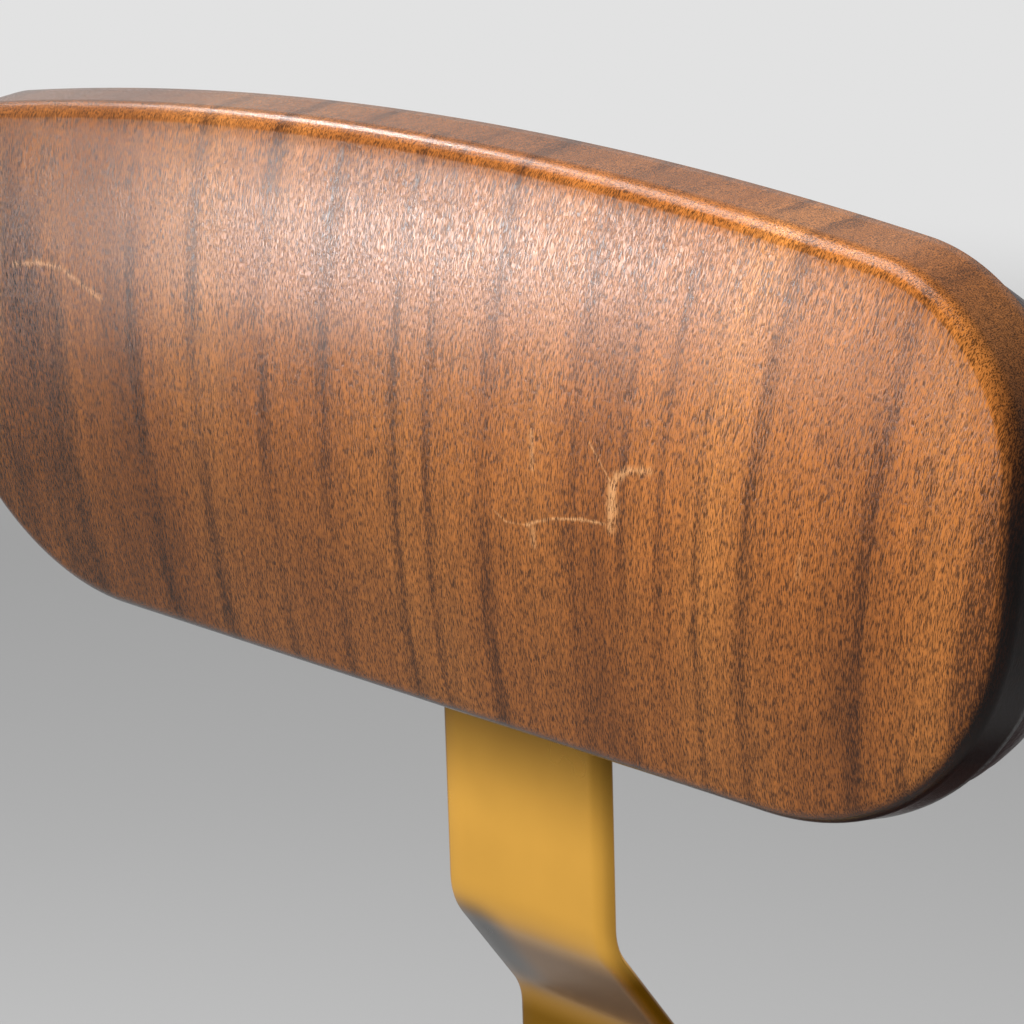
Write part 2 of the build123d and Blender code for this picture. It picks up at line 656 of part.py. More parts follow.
clamp_boss_low = guide_low - CLAMP_BOSS - SLIDE_GAP
export(hand_knob(CLAMP_KNOB_R, CLAMP_KNOB_DEPTH, CLAMP_LOBES, CLAMP_BOSS_R, SLIDE_GAP, CLAMP_R + FIXED_FIT),
       "clamp_knob", Location((0, guide_mid, clamp_boss_low)))
with BuildPart() as clamp_bolt:
    with Locations((0, guide_mid, guide_floor)):
        Cylinder(CLAMP_R, guide_floor - clamp_boss_low + SLIDE_GAP + CLAMP_KNOB_DEPTH / 2,
                 align=(Align.CENTER, Align.CENTER, Align.MAX))
export(clamp_bolt.part, "clamp_bolt")


def seat_outline(grow):
    """Seat outline let out by grow: bowed front and rear, narrower at the rear, round corners."""
    front_half = SEAT_WIDTH / 2 + grow
    rear_half = front_half - SEAT_REAR_NARROW
    front = SEAT_CENTRE_Y - SEAT_DEPTH / 2 + SEAT_BOW - grow
    rear = SEAT_CENTRE_Y + SEAT_DEPTH / 2 - SEAT_BOW + grow
    with BuildSketch() as outline:
        with BuildLine():
            ThreePointArc((-front_half, front), (0, front - SEAT_BOW), (front_half, front))
            Line((front_half, front), (rear_half, rear))
            ThreePointArc((rear_half, rear), (0, rear + SEAT_BOW), (-rear_half, rear))
            Line((-rear_half, rear), (-front_half, front))
        make_face()
        fillet(outline.vertices().group_by(Axis.Y)[0], radius=SEAT_FRONT_CORNER + grow)
        fillet(outline.vertices().group_by(Axis.Y)[-1], radius=SEAT_REAR_CORNER + grow)
    return outline.sketch


def seat_block(inset):
    """Solid under the seat pan's outer skin, taken in by inset except at its open top."""
    with BuildPart() as block:
        for height, grow in ((plate_top + inset, -PAN_FLARE), (pan_rim, 0)):
            with BuildSketch(Plane.XY.offset(height)):
                add(seat_outline(grow - inset))
        loft(ruled=True)
        fillet(block.faces().sort_by(Axis.Z)[0].edges(), radius=PAN_FOLD - inset)
    return block.part


# Seat: pan with a rolled lower fold, board inside it and a crowned cushion drawn in at the rim
pan_outer = seat_block(0)
pan_inner = seat_block(PAN_WALL)
with BuildPart() as seat_pan:
    add(pan_outer)
    add(pan_inner, mode=Mode.SUBTRACT)
    with Locations(*[(x, y, plate_top) for x, y in seat_screws_at]):
        Cylinder(SEAT_SCREW_R + FIXED_FIT, 4 * PAN_WALL, mode=Mode.SUBTRACT)
export(seat_pan.part, "seat_pan")

with BuildPart() as seat_board:
    with BuildSketch(Plane.XY.offset(board_low)):
        add(seat_outline(-BOARD_INSET))
    extrude(amount=BOARD_THICK)
    with Locations(*[(x, y, board_low) for x, y in seat_screws_at]):
        Cylinder(SEAT_SCREW_R + FIXED_FIT, 2 * (BOARD_THICK - PLATE_THICK), mode=Mode.SUBTRACT)
export(seat_board.part, "seat_board")

with BuildPart() as seat_screws:
    with Locations(*[(x, y, plate_low) for x, y in seat_screws_at]):
        Cylinder(SCREW_HEAD_R, SCREW_HEAD, align=(Align.CENTER, Align.CENTER, Align.MAX))
        Cylinder(SEAT_SCREW_R, board_low + BOARD_THICK - 2 * PLATE_THICK - plate_low,
                 align=(Align.CENTER, Align.CENTER, Align.MIN))
export(seat_screws.part, "seat_screws")

with BuildPart() as seat_cushion:
    cushion_mid = (pan_rim + SEAT_TOP) / 2
    for height, grow in ((pan_rim + SOFT_GAP, -CUSHION_DRAW), (cushion_mid, CUSHION_PUFF),
                         (SEAT_TOP, -CUSHION_PUFF)):
        with BuildSketch(Plane.XY.offset(height)):
            add(seat_outline(grow))
    loft(ruled=True)
    with Locations((0, SEAT_CENTRE_Y, SEAT_TOP - CROWN_RADIUS)):
        Sphere(CROWN_RADIUS, mode=Mode.INTERSECT)
    fillet(seat_cushion.faces().sort_by(Axis.Z)[-1].edges(), radius=CUSHION_EDGE)
    with BuildSketch(Plane.XY.offset(board_top + SOFT_GAP)):
        add(seat_outline(-BOARD_INSET / 2))
    extrude(amount=pan_rim - board_top)
export(seat_cushion.part, "seat_cushion")

# Back, drawn upright with its outer face through the origin and then reclined into place
lean = math.radians(BACK_RECLINE)
back_top = BACK_HEIGHT * BACK_TOP_SHARE
back_low = back_top - BACK_HEIGHT
back_half = BACK_WIDTH / 2
face_drop = BACK_FACE_R - math.sqrt(BACK_FACE_R ** 2 - back_low ** 2)
board_rear = RIM_DEPTH + BACK_BOARD_SET
board_front = board_rear + BACK_BOARD
strap_depth = board_front + STRAP_THICK

# The strap rises upright behind the seat to a knee, leans back, and steps back again into the pad
mid = STRAP_THICK / 2
lower_depth = board_front + JOG_FORWARD + mid
strap_rise_y = SEAT_CENTRE_Y + SEAT_DEPTH / 2 + CUSHION_PUFF + STRAP_SEAT_GAP + mid
knee_z = back_low_edge - STRAP_KNEE
back_z = back_low_edge - face_drop * math.sin(lean) - back_low * math.cos(lean)
back_y = strap_rise_y + lower_depth / math.cos(lean) + (back_z - knee_z) * math.tan(lean)
back_place = Location((0, back_y, back_z), (-BACK_RECLINE, 0, 0))


def back_outline(grow):
    """Back outline let out by grow: crowned top, sides drawing in to a flat lower edge, round corners."""
    top_half = back_half + BACK_SHOULDER + grow
    low_half = top_half - BACK_LOW_NARROW
    shoulder = back_top - BACK_TOP_R + math.sqrt(BACK_TOP_R ** 2 - top_half ** 2) + grow
    with BuildSketch() as outline:
        with BuildLine():
            ThreePointArc((-top_half, shoulder), (0, back_top + grow), (top_half, shoulder))
            Polyline((top_half, shoulder), (low_half, back_low - grow), (-low_half, back_low - grow),
                     (-top_half, shoulder))
        make_face()
        fillet(outline.vertices().group_by(Axis.Y)[0], radius=BACK_LOW_CORNER + grow)
        fillet(outline.vertices().group_by(Axis.Y)[-1], radius=BACK_TOP_CORNER + grow)
    return outline.sketch


def bowed_block(radius, rear, front, reach):
    """Long block along X between two depths, its +Y side bowed to radius, to trim the back's faces with."""
    with BuildPart() as block:
        with BuildSketch(Plane.YZ):
            sag = radius - math.sqrt(radius ** 2 - reach ** 2)
            with BuildLine():
                ThreePointArc((-rear - sag, -reach), (-rear, 0), (-rear - sag, reach))
                Polyline((-rear - sag, reach), (-front, reach), (-front, -reach), (-rear - sag, -reach))
            make_face()
        extrude(amount=BACK_WIDTH, both=True)
    return block.part


def back_block(inset, front=RIM_DEPTH):
    """Solid under the back's outer skin, taken in by inset except at its open front."""
    trim = bowed_block(BACK_FACE_R - inset, inset, front, BACK_HEIGHT)
    with BuildPart() as block:
        for depth, grow in ((-BACK_FOLD, 0), (front, BACK_FLARE)):
            with BuildSketch(Plane.XZ.offset(depth)):
                add(back_outline(grow - inset))
        loft(ruled=True)
        add(trim, mode=Mode.INTERSECT)
        fillet(block.faces().sort_by(Axis.Y)[-1].edges(), radius=BACK_FOLD - inset)
    return block.part


back_outer = back_block(0)
back_inner = back_block(BACK_WALL)
with BuildPart() as back_shell:
    add(back_outer)
    add(back_inner, mode=Mode.SUBTRACT)
export(back_shell.part, "back_shell", back_place)

# Plywood board in front of the shell's mouth and the blocks that carry the shell on it
screw_z = (back_low + BACK_SCREW_LOW, back_low + BACK_SCREW_HIGH)
screws_at = [(x, z) for x in (-strap_half / 2, strap_half / 2) for z in screw_z]
screw_grip = board_front - board_rear - 2 * BACK_SCREW_R
with BuildPart() as back_board:
    with BuildSketch(Plane.XZ.offset(board_rear)):
        add(back_outline(-BACK_BOARD_INSET))
    extrude(amount=BACK_BOARD)
    with BuildSketch(Plane.XZ.offset(board_front)):
        with Locations(*screws_at):
            Circle(BACK_SCREW_R + FIXED_FIT)
    extrude(amount=-screw_grip, mode=Mode.SUBTRACT)
export(back_board.part, "back_board", back_place)

standoff_trim = back_block(BACK_WALL + BLOCK_GAP, board_rear)
with BuildPart() as shell_standoffs:
    with BuildSketch(Plane.XZ.offset(board_rear)):
        with Locations(*[(x, z) for x in (-STANDOFF_X, STANDOFF_X) for z in (STANDOFF_LOW, STANDOFF_HIGH)]):
            Circle(STANDOFF_R)
    extrude(amount=-board_rear)
    add(standoff_trim, mode=Mode.INTERSECT)
export(shell_standoffs.part, "shell_standoffs", back_place)

with BuildPart() as back_screws:
    with BuildSketch(Plane.XZ.offset(strap_depth)):
        with Locations(*screws_at):
            Circle(BACK_SCREW_R)
    extrude(amount=-(STRAP_THICK + screw_grip))
    with BuildSketch(Plane.XZ.offset(strap_depth)):
        with Locations(*screws_at):
            Circle(BACK_SCREW_HEAD_R)
    extrude(amount=BACK_SCREW_HEAD)
export(back_screws.part, "back_screws", back_place)

# Pad round the board: drawn in at the shell's rim, fullest and lowest just in front of it, then
# tapering and dipping to a crown. Each level has its depth, how far it is let out and its height.
pad_rear = RIM_DEPTH + SOFT_GAP
pad_levels = ((pad_rear, BACK_FLARE - PAD_DRAW, 0), (pad_rear + PAD_BELLY, -PAD_INSET, -PAD_SINK),
              (PAD_FRONT, -PAD_TAPER, -PAD_DIP))
with BuildPart() as pad_trim:
    with BuildSketch(Plane.YZ):
        pad_mid = (back_top + back_low) / 2
        reach = BACK_HEIGHT
        edge = PAD_CROWN_R - math.sqrt(PAD_CROWN_R ** 2 - reach ** 2) - PAD_FRONT
        with BuildLine():
            ThreePointArc((edge, pad_mid - reach), (-PAD_FRONT, pad_mid), (edge, pad_mid + reach))
            Polyline((edge, pad_mid + reach), (0, pad_mid + reach), (0, pad_mid - reach),
                     (edge, pad_mid - reach))
        make_face()
    extrude(amount=BACK_WIDTH, both=True)

with BuildPart() as back_cushion:
    for depth, grow, height in pad_levels:
        with BuildSketch(Plane((0, -depth, height), x_dir=(1, 0, 0), z_dir=(0, -1, 0))):
            add(back_outline(grow))
    loft(ruled=True)
    add(pad_trim.part, mode=Mode.INTERSECT)
    fillet(back_cushion.faces().sort_by(Axis.Y)[0].edges(), radius=PAD_EDGE)
    with BuildSketch(Plane.XZ.offset(pad_rear)):
        add(back_outline(SOFT_GAP - BACK_BOARD_INSET))
    extrude(amount=board_front - pad_rear + SOFT_GAP, mode=Mode.SUBTRACT)
    with BuildSketch(Plane.XZ.offset(board_front)):
        with Locations((0, back_low + STRAP_END_UP + mid + SOFT_GAP)):
            Rectangle(STRAP_WIDTH + 2 * SOFT_GAP, 2 * BACK_HEIGHT, align=(Align.CENTER, Align.MAX))
    extrude(amount=STRAP_THICK + BACK_SCREW_HEAD + SOFT_GAP, mode=Mode.SUBTRACT)
export(back_cushion.part, "back_cushion", back_place)

# Strap: one flat bar from the guide up behind the seat, stepped back near the top and up into the pad
up = (math.sin(lean), math.cos(lean))
out = (math.cos(lean), -math.sin(lean))


def on_back(depth, height):
    """Point in the chair's YZ plane at a depth in front of the outer face and a height along it."""
    return (back_y - depth * out[0] + height * up[0], back_z - depth * out[1] + height * up[1])


jog_high = on_back(board_front + mid, back_low - JOG_START)
jog_low = on_back(lower_depth, back_low - JOG_START - JOG_DROP)
strap_front = GUIDE_FRONT + 2 * STRAP_THICK
strap_points = [(strap_front, strap_mid), (strap_rise_y, strap_mid), (strap_rise_y, knee_z),
                jog_low, jog_high, on_back(board_front + mid, back_low + STRAP_END_UP)]


def rounded_run(points, radii):
    """Edges of an open run of straight lines whose corners are rounded, each with its own radius."""
    start = Vector(*points[0])
    for corner, after, radius in zip(points[1:-1], points[2:], radii):
        corner = Vector(*corner)
        back_dir = (start - corner).normalized()
        next_dir = (Vector(*after) - corner).normalized()
        half = math.radians(back_dir.get_angle(next_dir)) / 2
        reach = radius / math.tan(half)
        bow = corner + (back_dir + next_dir).normalized() * (radius / math.sin(half) - radius)
        leave = corner + next_dir * reach
        Line(start, corner + back_dir * reach)
        ThreePointArc(corner + back_dir * reach, bow, leave)
        start = leave
    Line(start, Vector(*points[-1]))


with BuildPart() as strap_drill:
    with BuildSketch(Plane.XZ.offset(board_front - mid)):
        with Locations(*screws_at):
            Circle(BACK_SCREW_R + FIXED_FIT)
    extrude(amount=2 * STRAP_THICK)

with BuildPart() as back_strap:
    with BuildSketch(Plane.YZ):
        with BuildLine() as strap_line:
            rounded_run(strap_points, (STRAP_BEND, KNEE_BEND, JOG_BEND, JOG_BEND))
            offset(strap_line.line, amount=mid, side=Side.BOTH, mode=Mode.REPLACE)
        make_face()
    extrude(amount=strap_half, both=True)
    add(strap_drill.part.moved(back_place), mode=Mode.SUBTRACT)
export(back_strap.part, "back_strap")
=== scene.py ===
import json
import math

import bpy
import numpy as np
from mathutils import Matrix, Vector
from mathutils.bvhtree import BVHTree


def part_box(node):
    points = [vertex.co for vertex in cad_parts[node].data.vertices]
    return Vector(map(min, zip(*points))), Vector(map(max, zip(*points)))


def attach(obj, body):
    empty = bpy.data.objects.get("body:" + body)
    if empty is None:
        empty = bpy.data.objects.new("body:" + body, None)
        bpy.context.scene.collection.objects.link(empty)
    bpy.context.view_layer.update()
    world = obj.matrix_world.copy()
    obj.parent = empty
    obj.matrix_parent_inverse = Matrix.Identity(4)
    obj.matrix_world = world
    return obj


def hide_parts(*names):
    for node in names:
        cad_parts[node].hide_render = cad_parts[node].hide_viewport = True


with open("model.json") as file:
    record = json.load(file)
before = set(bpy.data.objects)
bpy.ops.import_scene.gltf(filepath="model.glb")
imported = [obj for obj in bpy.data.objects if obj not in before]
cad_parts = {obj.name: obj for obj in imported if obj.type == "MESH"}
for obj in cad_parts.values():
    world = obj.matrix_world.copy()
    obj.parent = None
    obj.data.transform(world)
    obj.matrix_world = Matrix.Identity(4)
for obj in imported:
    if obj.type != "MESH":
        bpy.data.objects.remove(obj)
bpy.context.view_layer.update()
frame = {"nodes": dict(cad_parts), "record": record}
scene = bpy.context.scene

# Casters: rubber tyres on moulded hubs, each on a plated axle in a pressed fork, with a plated
# stem that turns in the leg. The rubber is matt and dusty, the plating has fine turning lines.


def node(tree, kind, inputs=(), **settings):
    """Add a shader node; inputs map a socket to a value or to another node's output."""
    made = tree.nodes.new(kind)
    for key, value in settings.items():
        setattr(made, key, value)
    for key, value in dict(inputs).items():
        if isinstance(value, bpy.types.NodeSocket):
            tree.links.new(value, made.inputs[key])
        else:
            made.inputs[key].default_value = value
    return made


def material(name):
    """Empty node material with a Principled shader; returns material, tree and shader."""
    made = bpy.data.materials.new(name)
    made.use_nodes = True
    tree = made.node_tree
    tree.nodes.clear()
    shader = node(tree, "ShaderNodeBsdfPrincipled")
    node(tree, "ShaderNodeOutputMaterial", {"Surface": shader.outputs[0]})
    return made, tree, shader


def arithmetic(tree, operation, a, b=0.0, c=0.0):
    """Output of a Math node."""
    return node(tree, "ShaderNodeMath", {0: a, 1: b, 2: c}, operation=operation).outputs[0]


def vector(tree, operation, a, b=(0, 0, 0)):
    """Vector output of a Vector Math node."""
    return node(tree, "ShaderNodeVectorMath", {0: a, 1: b}, operation=operation).outputs[0]


def eased(tree, value, low, high, start=0.0, end=1.0):
    """Value eased from start to end while it goes from low to high."""
    inputs = {0: value, 1: low, 2: high, 3: start, 4: end}
    return node(tree, "ShaderNodeMapRange", inputs, interpolation_type="SMOOTHSTEP").outputs[0]


def noise(tree, place, scale, detail=3.0, rough=0.5, size=(1, 1, 1)):
    """Noise in cells of 1/scale metres, drawn out along an axis where size is smaller than 1."""
    inputs = {"Vector": vector(tree, "MULTIPLY", place, size), "Scale": scale,
              "Detail": detail, "Roughness": rough}
    return node(tree, "ShaderNodeTexNoise", inputs).outputs["Fac"]


def ramp(tree, value, stops):
    """Colour ramp; stops are (position, (r, g, b)) or (position, grey)."""
    made = node(tree, "ShaderNodeValToRGB", {0: value})
    bar = made.color_ramp
    while len(bar.elements) < len(stops):
        bar.elements.new(1.0)
    for element, (position, colour) in zip(bar.elements, stops):
        element.position = position
        element.color = (*colour, 1) if isinstance(colour, tuple) else (colour, colour, colour, 1)
    return made.outputs[0]


def mix(tree, kind, factor, a, b):
    """Colour mix of a and b."""
    made = node(tree, "ShaderNodeMix", data_type="RGBA", blend_type=kind)
    for socket, value in ((made.inputs[0], factor), (made.inputs[6], a), (made.inputs[7], b)):
        if isinstance(value, bpy.types.NodeSocket):
            tree.links.new(value, socket)
        elif socket.type == "RGBA":
            socket.default_value = (*value, 1)
        else:
            socket.default_value = value
    return made.outputs[2]


def bump(tree, shader, height, strength, distance):
    """Bump from a height field into the shader."""
    made = node(tree, "ShaderNodeBump", {"Height": height, "Strength": strength, "Distance": distance})
    tree.links.new(made.outputs[0], shader.inputs["Normal"])


def worked(name, colour, rough, metal=0.0, cell=220.0, depth=0.00008, size=(1, 1, 1), uneven=0.12):
    """One-colour finish, uneven in tone and gloss in patches, with a fine texture of 1/cell metres."""
    made, tree, shader = material(name)
    place = node(tree, "ShaderNodeTexCoord").outputs["Object"]
    patch = noise(tree, place, cell / 8, 4)
    fine = noise(tree, place, cell, 3, 0.6, size)
    light = tuple(min(1.0, c * (1 + uneven)) for c in colour)
    dark = tuple(c * (1 - uneven) for c in colour)
    tint = ramp(tree, fine, ((0.3, dark), (0.7, light)))
    tone = mix(tree, "MULTIPLY", 0.5, tint, ramp(tree, patch, ((0.3, 0.75), (0.7, 1.0))))
    tree.links.new(tone, shader.inputs["Base Color"])
    tree.links.new(eased(tree, patch, 0.3, 0.7, rough * 0.85, rough * 1.15), shader.inputs["Roughness"])
    shader.inputs["Metallic"].default_value = metal
    bump(tree, shader, fine, 0.35, depth)
    return made


finish = {
    "tyre_rubber": worked("tyre_rubber", (0.045, 0.045, 0.048), 0.62, cell=600),
    "black_plastic": worked("black_plastic", (0.020, 0.020, 0.021), 0.46, cell=1500, depth=0.00012),
    "zinc_steel": worked("zinc_steel", (0.52, 0.52, 0.50), 0.38, metal=1.0, cell=700, depth=0.00005,
                         size=(1, 1, 0.1)),
}
slot_of = {part["node"]: part["material_slot"] for part in frame["record"]["subparts"]}


def dress(thing, name):
    """Give an object one finish."""
    thing.data.materials.clear()
    thing.data.materials.append(finish[name])


def dress_nodes(*starts):
    """Give the frame's own pieces whose names start so the finish of their slot."""
    for name, thing in frame["nodes"].items():
        if name.startswith(starts):
            dress(thing, slot_of[name])


dress_nodes("caster_hub", "caster_tyre", "caster_axle", "caster_stem", "caster_sockets")

# Star base and caster forks: brass-finished casting and pressings, satin, a little cloudy with
# handling and duller where the finish has worn.
BRASS, BRASS_DULL = (0.80, 0.42, 0.075), (0.50, 0.25, 0.04)
CLOUD_CELL, BRUSH_CELL, BRASS_GLOSS = 14.0, 1500.0, 0.22


def satin_brass(name, tones_and_painted_shade=()):
    """Satin brass with cloudy dull patches a few centimetres wide and fine brush lines up the bar.

    Tones and painted shade are each a colour and the runs along axes between which it comes in and goes out,
    in millimetres.
    """
    made, tree, shader = material(name)
    place = node(tree, "ShaderNodeTexCoord").outputs["Object"]
    cloud = noise(tree, place, CLOUD_CELL, 4, 0.6)
    brush = noise(tree, place, BRUSH_CELL, 2, 0.5, (1, 1, 0.03))
    tone = mix(tree, "MIX", eased(tree, cloud, 0.45, 0.8, 0.0, 0.5), BRASS, BRASS_DULL)
    tone = mix(tree, "MULTIPLY", 0.25, tone, ramp(tree, brush, ((0.3, 0.6), (0.7, 1.0))))
    for colour, runs in tones_and_painted_shade:
        cover = 1.0
        for axis, start, end in runs:
            run = node(tree, "ShaderNodeSeparateXYZ", {0: place}).outputs[axis]
            cover = arithmetic(tree, "MULTIPLY", cover, eased(tree, run, start / 1000, end / 1000))
        tone = mix(tree, "MIX", cover, tone, colour)
    tree.links.new(tone, shader.inputs["Base Color"])
    tree.links.new(eased(tree, cloud, 0.3, 0.75, BRASS_GLOSS, BRASS_GLOSS + 0.08), shader.inputs["Roughness"])
    shader.inputs["Metallic"].default_value = 1.0
    bump(tree, shader, brush, 0.1, 0.00004)
    return made


finish["satin_brass"] = satin_brass("satin_brass")
dress_nodes("star_base", "caster_fork")

# Column: painted steel tube with a plastic guide bushing, a bright gas cylinder sliding in it and
# a plated bearing and clip at its foot.
finish["black_steel"] = worked("black_steel", (0.024, 0.024, 0.026), 0.40, cell=900)
finish["bright_steel"] = worked("bright_steel", (0.62, 0.62, 0.63), 0.20, metal=1.0, cell=700, depth=0.00004,
                                size=(1, 1, 0.06))
dress_nodes("column", "gas_cylinder", "piston_rod", "thrust_bearing", "rod_clip", "release_button")

# Tilt mechanism: pressed and painted housing and plate, rubber torsion spring on a plated shaft,
# lobed plastic knobs on their screws and a brass-finished height lever with a plastic grip.
finish["black_rubber"] = worked("black_rubber", (0.016, 0.016, 0.016), 0.72, cell=600)
dress_nodes("mechanism_housing", "tilt_plate", "torsion", "stop_bumpers", "pivot", "tension", "lever",
            "strap_guide", "clamp")

# Seat pan: moulded shell faced with walnut, like the back, on a plywood board. The veneer has dark
# streaks 10 to 35 mm apart, short dense pores along the grain and an oiled satin sheen.
STREAKS = (-181, -167, -154, -119, -105, -93, -82, -66, -35, -16, -5, 21, 44, 71, 95, 128)
VENEER_HALF = 200
WALNUT_DARK, WALNUT, WALNUT_PALE = (0.300, 0.090, 0.015), (0.540, 0.172, 0.030), (0.680, 0.240, 0.048)
# Below, the band's near-black colour is painted shade on the lower side band.
WALNUT_WORN, BAND_TONE, BAND_PAINTED_SHADE = (0.62, 0.30, 0.115), (0.58, 0.62, 0.85), (0.09, 0.06, 0.06)
STREAK_TINT, STREAK_SHARE, STREAK_SWAY = (0.30, 0.24, 0.20), 0.48, 0.006
FIBRE_SHARE, PORE_SHARE, STREAK_PORES = 0.55, 0.85, -0.07
WALNUT_GLOSS, WALNUT_SHEEN, PORE_DEPTH = (0.16, 0.24), 0.18, 0.00005
# Noise of the veneer: cells in a metre, detail, roughness and how it is drawn out along the grain
SWAY = (7.0, 2, 0.5, (0.6, 0, 1))
BROAD = (22.0, 2, 0.5, (1, 0.4, 0.16))
PATCHY = (50.0, 2, 0.5, (1, 0.5, 0.35))
RAGGED = (420.0, 3, 0.65, (1, 0.5, 0.10))
FIBRE = (800.0, 3, 0.6, (1, 0.5, 0.06))
PEBBLE = (1500.0, 2, 0.5, (1, 1, 0.45))
PORE = (3900.0, 2, 0.6, (1, 0.8, 0.15))


def slanted(tree, spot, lean):
    """Place across the veneer once its grain is set upright.

    Lean is the grain's slant at the middle, how that changes across, its curve and the level it starts from.
    """
    across, _, height = spot
    middle, change, curve, level = lean
    rise = arithmetic(tree, "SUBTRACT", height, level / 1000)
    slant = arithmetic(tree, "MULTIPLY_ADD", across, change, middle)
    slant = arithmetic(tree, "MULTIPLY_ADD", rise, curve, slant)
    return arithmetic(tree, "MULTIPLY_ADD", slant, rise, across)


def streaked(tree, grain, across, ragged):
    """Streak field, one on a streak and nought midway between two, made ragged and patchy by noise."""
    sway = noise(tree, grain, *SWAY)
    across = arithmetic(tree, "SUBTRACT", across, STREAK_SWAY / 2)
    across = arithmetic(tree, "MULTIPLY_ADD", sway, STREAK_SWAY, across)
    share = arithmetic(tree, "MULTIPLY_ADD", across, 500 / VENEER_HALF, 0.5)
    middles = [(a + b) / 2 for a, b in zip(STREAKS, STREAKS[1:])]
    stops = sorted([(x, 0.0) for x in STREAKS] + [(x, 1.0) for x in middles])
    apart = ramp(tree, share, [(0.5 + x / (2 * VENEER_HALF), grey) for x, grey in stops])
    edge = arithmetic(tree, "MULTIPLY_ADD", ragged, 0.5, arithmetic(tree, "SUBTRACT", apart, 0.25))
    patchy = noise(tree, grain, *PATCHY)
    return arithmetic(tree, "MULTIPLY", eased(tree, edge, -0.05, 0.36, 1.0, 0.0),
                      eased(tree, patchy, 0.32, 0.62, 0.1, 1.0))


def scuffed(tree, body, place, marks, ragged, pore):
    """Body colour with worn lines from point to point, each with a width in millimetres and a strength."""
    veneer = vector(tree, "MULTIPLY", place, (1, 0, 1))
    for points, width, strength in marks:
        for start, end in zip(points, points[1:]):
            start, end = (np.array([x, 0, z]) / 1000 for x, z in (start, end))
            reach = end - start
            rel = vector(tree, "SUBTRACT", veneer, tuple(start))
            along = node(tree, "ShaderNodeVectorMath", {0: rel, 1: tuple(reach / (reach @ reach))},
                         operation="DOT_PRODUCT").outputs["Value"]
            along = node(tree, "ShaderNodeClamp", {0: along}).outputs[0]
            foot = node(tree, "ShaderNodeVectorMath", {0: tuple(reach), "Scale": along},
                        operation="SCALE").outputs[0]
            off = node(tree, "ShaderNodeVectorMath", {0: rel, 1: foot}, operation="DISTANCE").outputs["Value"]
            worn = arithmetic(tree, "MULTIPLY_ADD", ragged, width / 1000, off)
            cover = eased(tree, worn, 0.0003 * width, 0.0011 * width, strength, 0.0)
            cover = arithmetic(tree, "MULTIPLY", cover, eased(tree, pore, 0.42, 0.50))
            body = mix(tree, "MIX", cover, body, WALNUT_WORN)
    return body


def banded(tree, body, spot, band):
    """Body colour, browner on the side band and darkened on it by painted shade from an upper to a lower
    level.

    Band is the radius of the bowed face, the depths behind it where the band starts, and the two levels.
    """
    _, depth, height = spot
    bow, start, end, upper, lower = band
    behind = arithmetic(tree, "MULTIPLY_ADD", arithmetic(tree, "MULTIPLY", height, height), -500 / bow,
                        arithmetic(tree, "MULTIPLY", depth, -1.0))
    # Painted shade: the side band grows dark from the upper level down to the lower.
    cover = arithmetic(tree, "MULTIPLY", eased(tree, behind, start / 1000, end / 1000),
                       eased(tree, height, upper / 1000, lower / 1000))
    body = mix(tree, "MULTIPLY", eased(tree, behind, end / 1000, 3 * end / 1000), body, BAND_TONE)
    return mix(tree, "MULTIPLY", cover, body, BAND_PAINTED_SHADE)


def walnut(name, turn, shift, marks=(), shade_fades=(), band=None, lean=(0, 0, 0, 0)):
    """Walnut whose grain runs along the third axis of the turned and shifted place.

    Fades are painted shade: an axis and the start and end of a run along it over which the tone falls to a
    share.
    """
    made, tree, shader = material(name)
    place = node(tree, "ShaderNodeTexCoord").outputs["Object"]
    place = node(tree, "ShaderNodeMapping", {"Vector": place, "Rotation": turn, "Location": shift}).outputs[0]
    spot = node(tree, "ShaderNodeSeparateXYZ", {0: place}).outputs
    across = slanted(tree, spot, lean)
    grain = node(tree, "ShaderNodeCombineXYZ", {0: across, 1: spot[1], 2: spot[2]}).outputs[0]
    broad, fibre, ragged = (noise(tree, grain, *kind) for kind in (BROAD, FIBRE, RAGGED))
    pore, pebble = noise(tree, grain, *PORE), noise(tree, grain, *PEBBLE)
    streak = streaked(tree, grain, across, ragged)
    open_pore = arithmetic(tree, "MULTIPLY_ADD", streak, STREAK_PORES, pore)
    body = ramp(tree, broad, ((0.30, WALNUT_DARK), (0.48, WALNUT), (0.70, WALNUT_PALE)))
    body = mix(tree, "MULTIPLY", arithmetic(tree, "MULTIPLY", streak, STREAK_SHARE), body, STREAK_TINT)
    body = mix(tree, "MULTIPLY", FIBRE_SHARE, body, ramp(tree, fibre, ((0.32, 0.45), (0.62, 1.0))))
    body = mix(tree, "MULTIPLY", PORE_SHARE, body, ramp(tree, open_pore, ((0.39, 0.06), (0.56, 1.0))))
    # Painted shade: the tone falls along each fade.
    for axis, start, end, tone in shade_fades:
        shade = eased(tree, spot[axis], start / 1000, end / 1000, 1.0, tone)
        body = node(tree, "ShaderNodeVectorMath", {0: body, "Scale": shade}, operation="SCALE").outputs[0]
    body = scuffed(tree, body, place, marks, ragged, pore)
    if band:
        body = banded(tree, body, spot, band)
    tree.links.new(body, shader.inputs["Base Color"])
    tree.links.new(eased(tree, pebble, 0.3, 0.7, *WALNUT_GLOSS), shader.inputs["Roughness"])
    shader.inputs["Specular IOR Level"].default_value = WALNUT_SHEEN
    relief = arithmetic(tree, "MULTIPLY_ADD", eased(tree, open_pore, 0.36, 0.56), 0.6, pebble)
    bump(tree, shader, relief, 0.45, PORE_DEPTH)
    return made


finish["walnut"] = walnut("walnut", (math.pi / 2, 0, 0), (0, 0, 0))
finish["plywood"] = worked("plywood", (0.45, 0.31, 0.17), 0.6, cell=420, depth=0.0002,
                           size=(0.06, 0.06, 2.2), uneven=0.3)
dress_nodes("seat_pan", "seat_board", "seat_screws")

